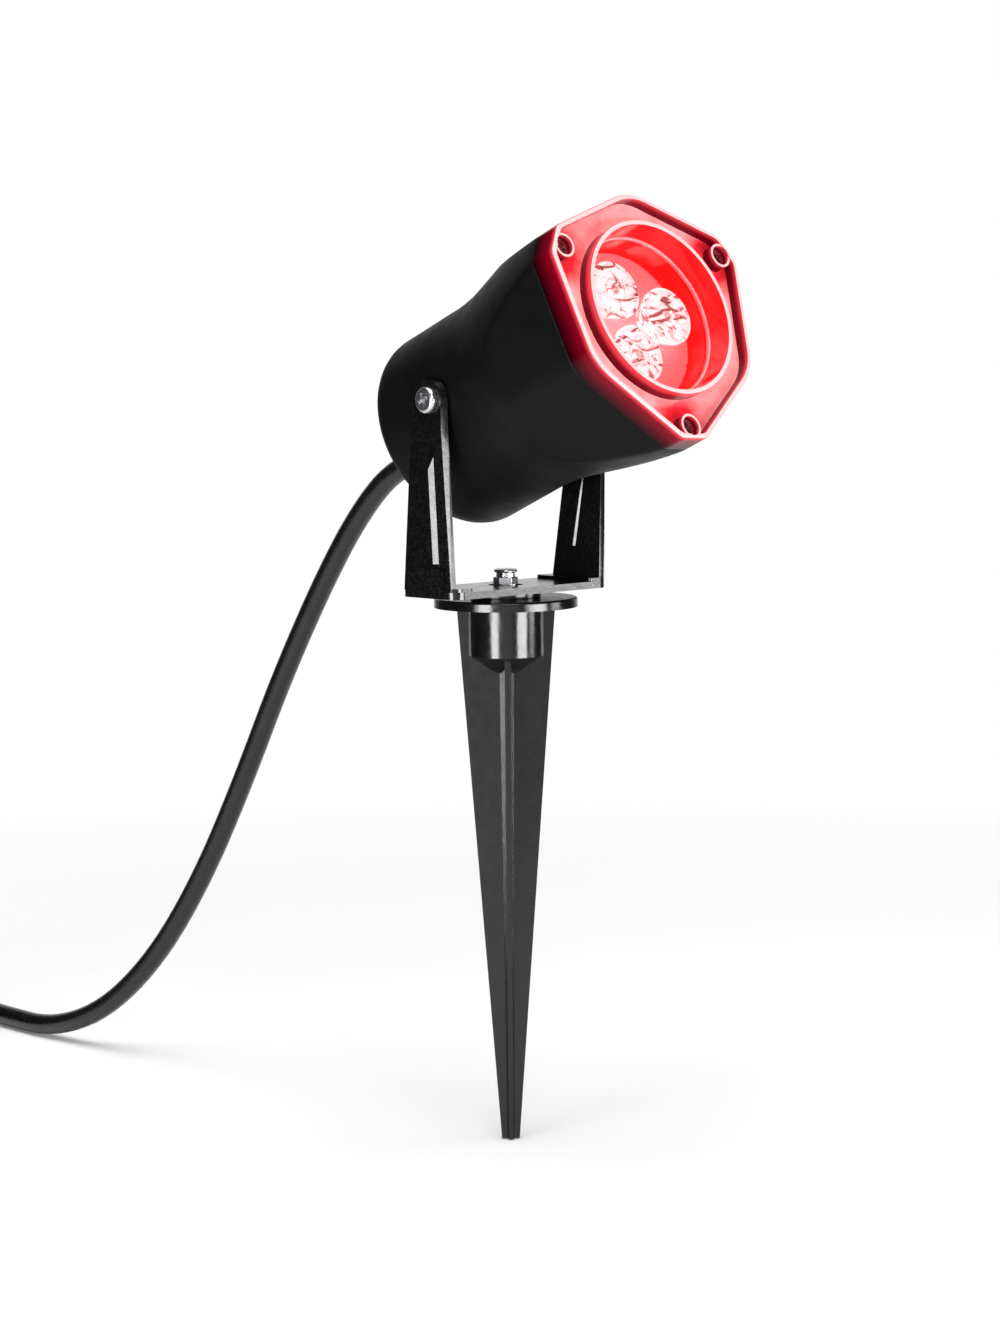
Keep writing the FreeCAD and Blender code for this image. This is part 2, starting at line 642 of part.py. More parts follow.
angles = (125.0, 5.0, -115.0)
b = body("optic_holder")
s = sketch(b, at=56.5 + fwd)
circ(s, 0, 0, 25.2)
for a in angles:
    circ(s, optic_pcr * math.cos(math.radians(a)), optic_pcr * math.sin(math.radians(a)), 7.2)
f = pad(b, s, 1.6)
leg = circ(sketch(b, at=51.7 + fwd), 20.5 * math.cos(math.radians(65)), 20.5 * math.sin(math.radians(65)), 1.4)
f = pad(b, leg, 5.2)
f = polar(b, [f], 3)
done(b, "head")


def three(label, build):
    """Three equal solids of one node, one at each light point."""
    b = body(label)
    feats = build(b)
    f = solid(b, "PolarPattern", None, True, Originals=feats,
              Axis=(plane(b, "Z_Axis"), [""]), Angle=360.0, Occurrences=3)
    return done(b, "head")


ox, oy = optic_pcr * math.cos(math.radians(5)), optic_pcr * math.sin(math.radians(5))


def optic(b):
    s = circ(sketch(b, at=53.4 + fwd), ox, oy, 4.4)
    s2 = circ(sketch(b, at=63.4 + fwd), ox, oy, optic_rad)
    f = b.newObject("PartDesign::AdditiveLoft", "Loft_" + b.Label)
    f.Profile = s
    f.Sections = [s2]
    f.Ruled = True
    b.Tip = f
    doc.recompute()
    g = pad(b, circ(sketch(b, at=63.4 + fwd), ox, oy, optic_rad), 1.4)
    h = solid(b, "Pocket", circ(sketch(b, at=53.4 + fwd), ox, oy, 2.9), False, Length=Q.of(3.0), Reversed=True)
    return [f, g, h]


# the cone narrows below the holder's holes
optic_node = three("collimator_lenses", optic)


b = body("led_emitters")
for a in angles:
    cx, cy = optic_pcr * math.cos(math.radians(a)), optic_pcr * math.sin(math.radians(a))
    f = pad(b, circ(sketch(b, at=51.7 + fwd), cx, cy, 4.0), 1.2)
    f = pad(b, circ(sketch(b, at=52.9 + fwd), cx, cy, 2.5), 1.6)
f = dress(b, "Fillet", f, lambda e, m: abs(m.z - 54.5 - fwd.v) < 1e-3, 1.2)
done(b, "head")

b = body("led_board")
s = circ(sketch(b, at=50.1 + fwd), 0, 0, 28.2)
for x in (-20.0, 20.0):
    circ(s, x, -6.0, 1.6)
circ(s, 0, 23.0, 2.4)
f = pad(b, s, 1.5)
done(b, "head")

b = body("board_screws")
for x in (-20.0, 20.0):
    pad(b, circ(sketch(b, at=51.6 + fwd), x, -6.0, 2.7), 1.8)
    pad(b, circ(sketch(b, at=44.0 + fwd), x, -6.0, 1.2), 7.7)
done(b, "head")

b = body("heat_sink")
s = circ(sketch(b, at=46.0 + fwd), 0, 0, bore - 0.3)
circ(s, 0, 23.0, 3.2)
f = pad(b, s, 4.1)
fins = []
for i, x in enumerate((-22.5, -15.0, -7.5, 0.0, 7.5, 15.0, 22.5)):
    yy = math.sqrt(31.0 ** 2 - (abs(x) + 1.0) ** 2)
    top = 17.5 if abs(x) < 5 else yy
    s = poly(sketch(b, at=31.0 + fwd), [(x - 1.0, -yy), (x + 1.0, -yy), (x + 1.0, top), (x - 1.0, top)])
    pad(b, s, 15.2)
s = sketch(b, at=50.2 + fwd)
for x in (-20.0, 20.0):
    circ(s, x, -6.0, 1.25)
pocket(b, s, 10.0)
done(b, "head")

# the driver: a round board on three posts, with its parts
b = body("driver_board")
s = circ(sketch(b, at=8.0), 0, 0, 25.4)
for k in range(3):
    a = math.radians(90 + 120 * k)
    circ(s, 20.0 * math.cos(a), 20.0 * math.sin(a), 1.7)
for x in (-5.0, 5.0):
    circ(s, x, -19.0, 1.35)
    circ(s, x, 14.0, 1.05)
pad(b, s, 1.6)
done(b, "head")
b = body("driver_screws")
z = 9.6
f0 = pad(b, circ(sketch(b, at=z), 0, 20.0, 2.8), 1.9)
f1 = solid(b, "Pad", circ(sketch(b, at=z + 0.1), 0, 20.0, 1.15), True, Length=Q.of(8.0), Reversed=True)
solid(b, "PolarPattern", None, True, Originals=[f0, f1], Axis=(plane(b, "Z_Axis"), [""]), Angle=360.0, Occurrences=3)
done(b, "head")


def block(label, x0, x1, y0, y1, z0, z1, fil=0.0):
    b = body(label)
    s = poly(sketch(b, at=z0), [(x0, y0), (x1, y0), (x1, y1), (x0, y1)])
    f = pad(b, s, Q.of(z1) - z0)
    if fil:
        dress(b, "Fillet", f, lambda e, m: abs(e.Vertexes[0].X - e.Vertexes[-1].X) < 1e-6 and
              abs(e.Vertexes[0].Y - e.Vertexes[-1].Y) < 1e-6, fil)
    return b


done(block("mains_transformer", -14.5, 1.5, -7.0, 9.0, 9.6, 24.0, 1.0), "head")
done(block("film_capacitor", 1.0, 13.5, -15.5, -9.5, 9.6, 20.6, 0.8), "head")
done(block("bridge_rectifier", -22.5, -18.0, -2.0, 8.0, 9.6, 16.6, 0.5), "head")
b = body("filter_capacitor")
f = pad(b, circ(sketch(b, at=9.6), 11.5, 1.0, 5.0), 16.0)
dress(b, "Fillet", f, lambda e, m: abs(m.z - 25.6) < 1e-3, 0.7)
done(b, "head")

# insulated conductors: through the board, up past the heat sink to the lights
b = body("led_leads")
for x in (-1.05, 1.05):
    pad(b, circ(sketch(b, at=12.4), x, 23.0, 0.9), 39.4 + fwd)
done(b, "head")

b = body("mains_leads")
for x in (-1.6, 1.6):
    pad(b, circ(sketch(b, at=-rear_end + 12.1), x, -gland_drop, 1.1), rear_end - 12.1 + 7.9)
done(b, "head")

# the cord entry: moulded gland with its tapered boot, clamp and the cord's end
gy = -gland_drop
b = body("cord_gland")
r0 = -rear_end
s = circ(sketch(b, at=r0 + 2.3), 0, gy, 8.0)
f = pad(b, s, 2.0)
s = circ(sketch(b, at=r0 - 2.0), 0, gy, 5.5)
f = pad(b, s, 4.5)
s = circ(sketch(b, at=r0 - 3.2), 0, gy, 7.4)
f = pad(b, s, 2.0)
sa = circ(sketch(b, at=r0 - 3.1), 0, gy, 6.3)
sb = circ(sketch(b, at=r0 - 21.5), 0, gy, 4.6)
f = b.newObject("PartDesign::AdditiveLoft", "Loft_cord_gland")
f.Profile = sa
f.Sections = [sb]
f.Ruled = True
b.Tip = f
doc.recompute()
for i in range(5):
    s = sketch(b, at=r0 - 7.4 - 2.8 * i)
    circ(s, 0, gy, 9.0)
    circ(s, 0, gy, 5.05 - 0.14 * i)
    pocket(b, s, 1.1)
s = circ(sketch(b, at=r0 + 6.0), 0, gy, cord_rad + 0.05)
pocket(b, s, 30.0)
done(b, "head")
b = body("cord_end")
pad(b, circ(sketch(b, at=r0 - 21.5), 0, gy, cord_rad), 33.5)
done(b, "head")
b = body("cord_clamp")
s = rounded(sketch(b, at=r0 + 4.6), [(-11.0, gy - 6.0), (11.0, gy - 6.0), (11.0, gy + 6.0), (-11.0, gy + 6.0)], [3.0] * 4)
circ(s, 0, gy, cord_rad + 0.05)
circ(s, 8.0, gy, 1.3)
circ(s, -8.0, gy, 1.3)
pad(b, s, 5.0)
done(b, "head")

# tilt screws, washers and captive nuts, one set on each side
for label in ("tilt_screws", "tilt_nuts", "tilt_washers"):
    b = body(label)
    if label == "tilt_screws":
        f = pad(b, circ(sketch(b, "YZ_Plane", at=arm_out + gap), 0, 0, 4.25), 2.2)
        f = dress(b, "Fillet", f, lambda e, m: abs(m.x - arm_out.v - gap.v - 2.2) < 1e-3, 1.3)
        g = pad(b, circ(sketch(b, "YZ_Plane", at=22.6), 0, 0, tilt_bolt), arm_out + gap - 22.6 + 0.1)
        for w, l in ((1.0, 4.6), (4.6, 1.0)):
            pocket(b, poly(sketch(b, "YZ_Plane", at=arm_out + gap + 2.2),
                           [(-w / 2, -l / 2), (w / 2, -l / 2), (w / 2, l / 2), (-w / 2, l / 2)]), 1.3)
    elif label == "tilt_nuts":
        s = hexagon(sketch(b, "YZ_Plane", at=24.6), 7.0)
        circ(s, 0, 0, tilt_bolt + 0.03)
        pad(b, s, 3.4)
    else:
        s = circ(sketch(b, "YZ_Plane", at=spot_x + 0.02), 0, 0, 5.2)
        circ(s, 0, 0, tilt_bolt + 0.1)
        pad(b, s, arm_in - gap - spot_x - 0.02)
    feats = [o for o in b.Group if o.isDerivedFrom("PartDesign::Feature") and not o.isDerivedFrom("PartDesign::Fillet")]
    if label == "tilt_screws":
        # the second screw is the first one's mirror image, kept as its own solid
        b.Label = "tilt_screw_right"
        m = doc.addObject("Part::Mirroring", "M_tilt_screws")
        m.Source = b
        m.Normal = Vector(1, 0, 0)
        c = doc.addObject("Part::Compound", "C_tilt_screws")
        c.Links = [b, m]
        c.Label = label
        doc.recompute()
        done(c, "head")
    else:
        mirrored(b, feats)
        done(b, "head")

# ================================================================ the cord
R_CORD = cord_rad.v
ROUTE = [
    (0.0, 44.95, 221.58),
    (0.0, 52.4, 218.42),
    (0.0, 59.8, 213.8),
    (0.0, 68.3, 206.3),
    (0.5, 79.8, 194.3),
    (0.8, 95.8, 173.3),
    (1.0, 116.4, 142.4),
    (1.8, 137.5, 107.2),
    (1.4, 161.0, 69.7),
    (-1.1, 185.8, 37.2),
    (-4.6, 213.2, 14.2),
    (-6.6, 243.0, 3.75),
    (-5.4, 273.0, 3.75),
    (-1.6, 304.0, 3.75),
    (2.75, 335.0, 4.95),
]
TAIL = [
    (-76.7, 349.8, 19.95),
    (-79.3, 333.0, 19.9),
    (-78.9, 316.0, 17.6),
    (-76.8, 300.0, 11.8),
    (-73.8, 283.5, 7.3),
    (-70.3, 266.5, 7.3),
]


def tube(label, pts):
    """Round cord along straight runs joined by the largest tangent arcs."""
    pts = [Vector(*p) for p in pts]
    n = len(pts)
    es, at, length, radii = [], pts[0], 0.0, []
    for i in range(1, n - 1):
        a, c = pts[i - 1] - pts[i], pts[i + 1] - pts[i]
        la, lc = a.Length, c.Length
        a.normalize()
        c.normalize()
        half = (math.pi - a.getAngle(c)) / 2
        t = 0.45 * min(la, lc)
        radii.append(t / math.tan(half))
        p0, p1 = pts[i] + a * t, pts[i] + c * t
        mid = (a + c).normalize()
        r = radii[-1]
        pm = pts[i] + mid * (r / math.cos(half) - r)
        es.append(Part.LineSegment(at, p0).toShape())
        es.append(Part.Arc(p0, pm, p1).toShape())
        at = p1
    es.append(Part.LineSegment(at, pts[-1]).toShape())
    wire = Part.Wire(es)
    prof = Part.Wire([Part.Circle(pts[0], pts[1] - pts[0], cord_rad.v).toShape()])
    shape = wire.makePipeShell([prof], True, False, 2)
    f = doc.addObject("Part::Feature", "F_" + label)
    f.Label = label
    f.Shape = shape
    f.Placement = Placement()
    want = math.pi * cord_rad.v ** 2 * wire.Length
    print("%s: length %.1f, radii %s, turns %s, volume %.0f of %.0f" % (
        label, wire.Length, ["%.0f" % r for r in radii],
        ["%.0f" % math.degrees(math.pi - (pts[i - 1] - pts[i]).getAngle(pts[i + 1] - pts[i])) for i in range(1, n - 1)],
        shape.Volume, want))
    print("   runs", ["%.0f" % (pts[i + 1] - pts[i]).Length for i in range(n - 1)])
    if abs(shape.Volume / want - 1) > 0.01:
        failed.append(label + ": volume")
    nodes.append(f)
    return wire.Length


exit_len = tube("cord_tube", ROUTE)
b = body("cord_coil")
s = sketch(b, "XZ_Plane")
z0, z1 = coil_low, coil_low + coil_thk
rounded(s, [(coil_in, z0), (coil_out, z0), (coil_out, z1), (coil_in, z1)], [cord_rad * 0.9] * 4)
turn(b, s)
b.Placement = Placement(Vector(coil_x.v, coil_y.v, 0), Rotation())
b.setExpression("Placement.Base.x", coil_x.t)
b.setExpression("Placement.Base.y", coil_y.t)
done(b)
tail_len = tube("cord_tail", TAIL)

# the tie round the bundle, on the coil's far side
b = body("cord_tie")
s = sketch(b, "XZ_Plane")
poly(s, [(coil_in - 1.4, coil_low - 1.1), (coil_out + 1.1, coil_low - 1.1), (coil_out + 1.1, z1 + 1.1), (coil_in - 1.4, z1 + 1.1)])
poly(s, [(coil_in - 0.4, coil_low - 0.1), (coil_out + 0.1, coil_low - 0.1), (coil_out + 0.1, z1 + 0.1), (coil_in - 0.4, z1 + 0.1)])
f = pad(b, s, 7.0, Midplane=True)
f = dress(b, "Fillet", f, lambda e, m: abs(abs(m.y) - 0) < 1e-3 and
          (abs(m.x - coil_in.v + 1.4) < 1e-3 or abs(m.x - coil_out.v - 1.1) < 1e-3) and
          (abs(m.z - z0.v + 1.1) < 1e-3 or abs(m.z - z1.v - 1.1) < 1e-3), 1.0)
b.Placement = Placement(Vector(coil_x.v, coil_y.v, 0), Rotation(Vector(0, 0, 1), 55))
b.setExpression("Placement.Base.x", coil_x.t)
b.setExpression("Placement.Base.y", coil_y.t)
done(b)

# the plug lies on the floor beside the coil, blades towards -Y
b = body("plug_body")
sa = circ(sketch(b), 0, 0, 4.5)
sb = circ(sketch(b, at=15.0), 0, 0, 6.2)
f = b.newObject("PartDesign::AdditiveLoft", "Loft_plug_body")
f.Profile = sa
f.Sections = [sb]
f.Ruled = True
b.Tip = f
doc.recompute()
s = rounded(sketch(b, at=14.5), [(-9.0, -6.8), (9.0, -6.8), (9.0, 6.8), (-9.0, 6.8)], [5.0] * 4)
f = pad(b, s, 17.5)
s = rounded(sketch(b, at=30.0), [(-12.0, -7.2), (12.0, -7.2), (12.0, 7.2), (-12.0, 7.2)], [4.0] * 4)
f = pad(b, s, 9.0)
f = dress(b, "Fillet", f, lambda e, m: abs(m.z - 39.0) < 1e-3 or abs(m.z - 30.0) < 1e-3 and
          (abs(m.x) > 9.3 or abs(m.y) > 6.9), 1.0)
for i in range(3):
    s = sketch(b, at=4.4 + 3.2 * i)
    circ(s, 0, 0, 9.0)
    circ(s, 0, 0, 4.25 + 0.36 * i)
    pocket(b, s, 1.2)
plug_at = Placement(Vector(-72.12, 275.3, 7.3), Rotation(Vector(0, 0, 1), 11.63) * Rotation(Vector(1, 0, 0), 90))
b.Placement = plug_at
done(b)
b = body("plug_blades")
for sx, w in ((-1, 6.3), (1, 7.9)):
    s = rounded(sketch(b, "YZ_Plane", at=sx * 6.35 - 0.75),
                [(-w / 2, 39.05), (w / 2, 39.05), (w / 2, 54.5), (-w / 2, 54.5)], [0.3, 0.3, 1.6, 1.6])
    circ(s, 0, 51.0, 1.6)
    pad(b, s, 1.5)
b.Placement = plug_at
done(b)

doc.recompute()

# ---------------------------------------------------------------- checks
for o in doc.Objects:
    if "Invalid" in o.State or "Error" in o.State:
        failed.append("%s (%s): %s" % (o.Name, o.Label, o.State))
labels = [o.Label for o in nodes]
if len(set(labels)) != len(labels):
    failed.append("labels repeat")
for o in nodes:
    sh = o.Shape
    if sh.isNull() or not sh.isValid() or not sh.Solids:
        failed.append("%s: shape" % o.Label)
    else:
        bb = sh.BoundBox
        print("%-18s solids %d volume %9.1f  x %7.1f %7.1f  y %7.1f %7.1f  z %7.1f %7.1f" % (
            o.Label, len(sh.Solids), sh.Volume, bb.XMin, bb.XMax, bb.YMin, bb.YMax, bb.ZMin, bb.ZMax))
if failed:
    raise SystemExit("FAILED: " + "; ".join(failed))
os.makedirs("parts", exist_ok=True)
for old in os.listdir("parts"):
    if old.endswith(".step") and old[:-5] not in labels:
        os.remove(os.path.join("parts", old))
for o in nodes:
    o.Shape.exportStep(os.path.join("parts", o.Label + ".step"))
print("wrote", len(nodes), "parts; cord outside the coil: %.1f + %.1f mm" % (exit_len, tail_len))
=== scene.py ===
import math

import bmesh
import bpy
from mathutils import Matrix, Vector


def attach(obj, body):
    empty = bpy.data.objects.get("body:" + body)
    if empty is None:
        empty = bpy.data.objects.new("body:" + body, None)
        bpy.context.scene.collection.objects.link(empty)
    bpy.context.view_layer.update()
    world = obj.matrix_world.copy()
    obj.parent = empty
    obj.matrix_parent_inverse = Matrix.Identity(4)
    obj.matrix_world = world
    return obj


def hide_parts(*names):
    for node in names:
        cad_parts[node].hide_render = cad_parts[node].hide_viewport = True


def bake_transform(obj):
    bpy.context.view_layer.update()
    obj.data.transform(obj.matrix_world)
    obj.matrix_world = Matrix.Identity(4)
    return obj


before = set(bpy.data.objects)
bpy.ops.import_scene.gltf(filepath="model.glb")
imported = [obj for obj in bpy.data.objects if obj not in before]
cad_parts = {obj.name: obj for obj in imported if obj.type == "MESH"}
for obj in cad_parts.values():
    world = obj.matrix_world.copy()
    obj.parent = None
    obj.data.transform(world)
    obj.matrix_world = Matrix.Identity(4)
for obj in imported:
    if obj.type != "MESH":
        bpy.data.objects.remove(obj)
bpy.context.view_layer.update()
scene = bpy.context.scene
coll = scene.collection
MM = 0.001

# ------------------------------------------------------------------ camera
AZ, EL, ROLL = math.radians(-43.4), math.radians(5.82), math.radians(0.551)
TARGET = Vector((0, 0, 0.156249))
back = Vector((math.sin(AZ) * math.cos(EL), -math.cos(AZ) * math.cos(EL), math.sin(EL)))
right = Vector((math.cos(AZ), math.sin(AZ), 0))
up = back.cross(right)
cam_data = bpy.data.cameras.new("camera")
cam = bpy.data.objects.new("camera", cam_data)
coll.objects.link(cam)
r1 = right * math.cos(ROLL) - up * math.sin(ROLL)
u1 = right * math.sin(ROLL) + up * math.cos(ROLL)
rot = Matrix((r1, u1, back)).transposed().to_4x4()
cam.matrix_world = Matrix.Translation(TARGET + back * 1.2) @ rot
cam_data.sensor_fit = "AUTO"
cam_data.sensor_width = 24.0
cam_data.lens = 66.34
cam_data.shift_x = -6.392 / 1333
cam_data.clip_start, cam_data.clip_end = 0.05, 60
scene.camera = cam
scene.view_settings.view_transform = "Standard"
scene.view_settings.look = "None"

# the head's own frame: X right, U up, F along the beam from the pivot, in mm
T23 = math.radians(23.0)
PIVOT = Vector((0, -3.8, 243.9))
F = Vector((0, -math.cos(T23), math.sin(T23)))
U = Vector((0, math.sin(T23), math.cos(T23)))
X = Vector((1, 0, 0))

# ------------------------------------------------------------------ materials


class Mat:
    """A small builder for procedural materials."""

    def __init__(self, name):
        self.m = bpy.data.materials.new(name)
        self.m.use_nodes = True
        self.t = self.m.node_tree
        self.t.nodes.clear()
        self.out = self.t.nodes.new("ShaderNodeOutputMaterial")
        self.b = self.t.nodes.new("ShaderNodeBsdfPrincipled")
        self.t.links.new(self.b.outputs[0], self.out.inputs[0])
        self.co = self.t.nodes.new("ShaderNodeTexCoord")

    def put(self, **kw):
        for k, v in kw.items():
            self.b.inputs[k.replace("_", " ")].default_value = v
        return self

    def n(self, kind, **kw):
        node = self.t.nodes.new("ShaderNode" + kind)
        for k, v in kw.items():
            if k in node.inputs:
                node.inputs[k].default_value = v
            else:
                setattr(node, k, v)
        return node

    def link(self, a, b):
        self.t.links.new(a, b)

    def scaled(self, scale):
        mp = self.n("Mapping")
        mp.inputs["Scale"].default_value = scale
        self.link(self.co.outputs["Object"], mp.inputs["Vector"])
        return mp.outputs[0]

    def noise(self, scale, detail=3.0, rough=0.55, vec=None, distortion=0.0):
        nz = self.n("TexNoise", Scale=scale, Detail=detail, Roughness=rough, Distortion=distortion)
        self.link(vec if vec is not None else self.co.outputs["Object"], nz.inputs["Vector"])
        return nz.outputs["Fac"]

    def voronoi(self, scale, vec=None, feature="F1"):
        vz = self.n("TexVoronoi", feature=feature, Scale=scale)
        self.link(vec if vec is not None else self.co.outputs["Object"], vz.inputs["Vector"])
        return vz.outputs["Distance"]

    def ramp(self, fac, stops):
        rp = self.n("ValToRGB")
        el = rp.color_ramp.elements
        while len(el) < len(stops):
            el.new(0.5)
        for e, (p, c) in zip(el, stops):
            e.position = p
            e.color = (c, c, c, 1) if isinstance(c, (int, float)) else (c[0], c[1], c[2], 1)
        self.link(fac, rp.inputs["Fac"])
        return rp.outputs["Color"]

    def mixed(self, fac, a, b):
        mx = self.n("Mix", data_type="RGBA")
        mx.inputs[0].default_value = 0.5
        self.link(fac, mx.inputs[0])
        for sock, v in ((mx.inputs[6], a), (mx.inputs[7], b)):
            if isinstance(v, tuple):
                sock.default_value = (v[0], v[1], v[2], 1)
            else:
                self.link(v, sock)
        return mx.outputs[2]

    def math(self, op, a, b):
        mt = self.n("Math", operation=op)
        for sock, v in ((mt.inputs[0], a), (mt.inputs[1], b)):
            if isinstance(v, (int, float)):
                sock.default_value = v
            else:
                self.link(v, sock)
        return mt.outputs[0]

    def colour(self, out):
        self.link(out, self.b.inputs["Base Color"])
        return self

    def rough(self, out):
        self.link(out, self.b.inputs["Roughness"])
        return self

    def bump(self, height, distance, strength=1.0, after=None):
        bp = self.n("Bump")
        bp.inputs["Strength"].default_value = strength
        bp.inputs["Distance"].default_value = distance
        self.link(height, bp.inputs["Height"])
        if after is not None:
            self.link(after, bp.inputs["Normal"])
        self.link(bp.outputs[0], self.b.inputs["Normal"])
        return bp.outputs[0]


def moulded(name, dark, light, r0, r1, grain, grain_depth, swirl=40.0, coat=0.0, ior=1.5, dust=0.0, spec=0.5):
    """Moulded plastic: slow colour drift, uneven gloss and a fine grain."""
    m = Mat(name)
    slow = m.noise(swirl, 4.0, 0.6, distortion=0.6)
    base = m.mixed(m.ramp(slow, [(0.3, 0.0), (0.7, 1.0)]), dark, light)
    edge = m.n("NewGeometry").outputs["Pointiness"]
    worn = m.ramp(edge, [(0.52, 0.0), (0.6, 1.0)])
    scratch = m.ramp(m.noise(900.0, 2.0, 0.6), [(0.45, 0.0), (0.6, 1.0)])
    worn = m.math("MULTIPLY", m.math("MULTIPLY", worn, scratch), 0.35)
    base = m.mixed(worn, base, tuple(min(1.0, c * 2.2 + 0.01) for c in light))
    if dust:
        speck = m.ramp(m.noise(2600.0, 1.0, 0.5), [(0.74, 0.0), (0.8, dust)])
        base = m.mixed(speck, base, (0.35, 0.34, 0.33))
    m.colour(base)
    m.rough(m.ramp(m.noise(swirl * 4, 5.0, 0.65), [(0.25, r0), (0.75, r1)]))
    m.bump(m.noise(grain, 3.0, 0.6), grain_depth)
    m.put(IOR=ior, Coat_Weight=coat, Coat_Roughness=0.12, Specular_IOR_Level=spec)
    return m.m


mat_body = moulded("body_matt", (0.0018, 0.0018, 0.0019), (0.0030, 0.0030, 0.0031), 0.42, 0.56, 1900.0, 0.00004, 35.0, spec=0.10)
mat_stake = moulded("stake_gloss", (0.0016, 0.0016, 0.0017), (0.0034, 0.0034, 0.0036), 0.12, 0.26, 700.0, 0.00003, 60.0, dust=0.15)
mat_yoke = moulded("yoke_gloss", (0.0012, 0.0012, 0.0013), (0.0026, 0.0026, 0.0027), 0.12, 0.24, 800.0, 0.000025, 70.0)
mat_nylon = moulded("nylon", (0.004, 0.004, 0.004), (0.009, 0.009, 0.009), 0.3, 0.45, 1500.0, 0.00003)
mat_rubber = moulded("seal", (0.005, 0.005, 0.005), (0.009, 0.009, 0.009), 0.5, 0.65, 2000.0, 0.00004, spec=0.3)


def jacket():
    """Cord jacket: dull black PVC with a slow tone drift, a fine grain and handling dust."""
    m = Mat("cord_jacket")
    base = m.mixed(m.ramp(m.noise(120.0, 4.0, 0.6), [(0.3, 0.0), (0.7, 1.0)]), (0.002, 0.002, 0.0021), (0.0042, 0.0042, 0.0044))
    speck = m.ramp(m.noise(2400.0, 1.0, 0.5), [(0.7, 0.0), (0.78, 0.5)])
    m.colour(m.mixed(speck, base, (0.04, 0.04, 0.04)))
    m.rough(m.ramp(m.noise(400.0, 4.0, 0.6), [(0.3, 0.22), (0.7, 0.34)]))
    m.bump(m.noise(1400.0, 3.0, 0.6), 0.00006)
    m.put(IOR=1.5)
    return m.m


mat_cord = jacket()


def metal(name, c0, c1, r0, r1, brushed=(300.0, 300.0, 4000.0), depth=0.00001):
    m = Mat(name)
    v = m.scaled(brushed)
    m.colour(m.mixed(m.ramp(m.noise(600.0, 4.0, 0.6), [(0.3, 0.0), (0.7, 1.0)]), c0, c1))
    m.rough(m.ramp(m.noise(1.0, 4.0, 0.7, vec=v), [(0.3, r0), (0.7, r1)]))
    m.bump(m.noise(1.0, 3.0, 0.6, vec=v), depth)
    m.put(Metallic=1.0)
    return m.m


mat_zinc = metal("zinc", (0.50, 0.51, 0.53), (0.74, 0.74, 0.76), 0.18, 0.36)
mat_brass = metal("blade_metal", (0.62, 0.56, 0.40), (0.80, 0.74, 0.56), 0.2, 0.35)
# painted reflection: the screws' red tint stands in for the red cover reflected in dark steel
mat_screw_red_reflection = metal("screw_dark_red_reflection", (0.34, 0.12, 0.13), (0.55, 0.26, 0.27), 0.22, 0.38)
mat_alu = metal("aluminium", (0.55, 0.56, 0.58), (0.72, 0.73, 0.75), 0.35, 0.5)


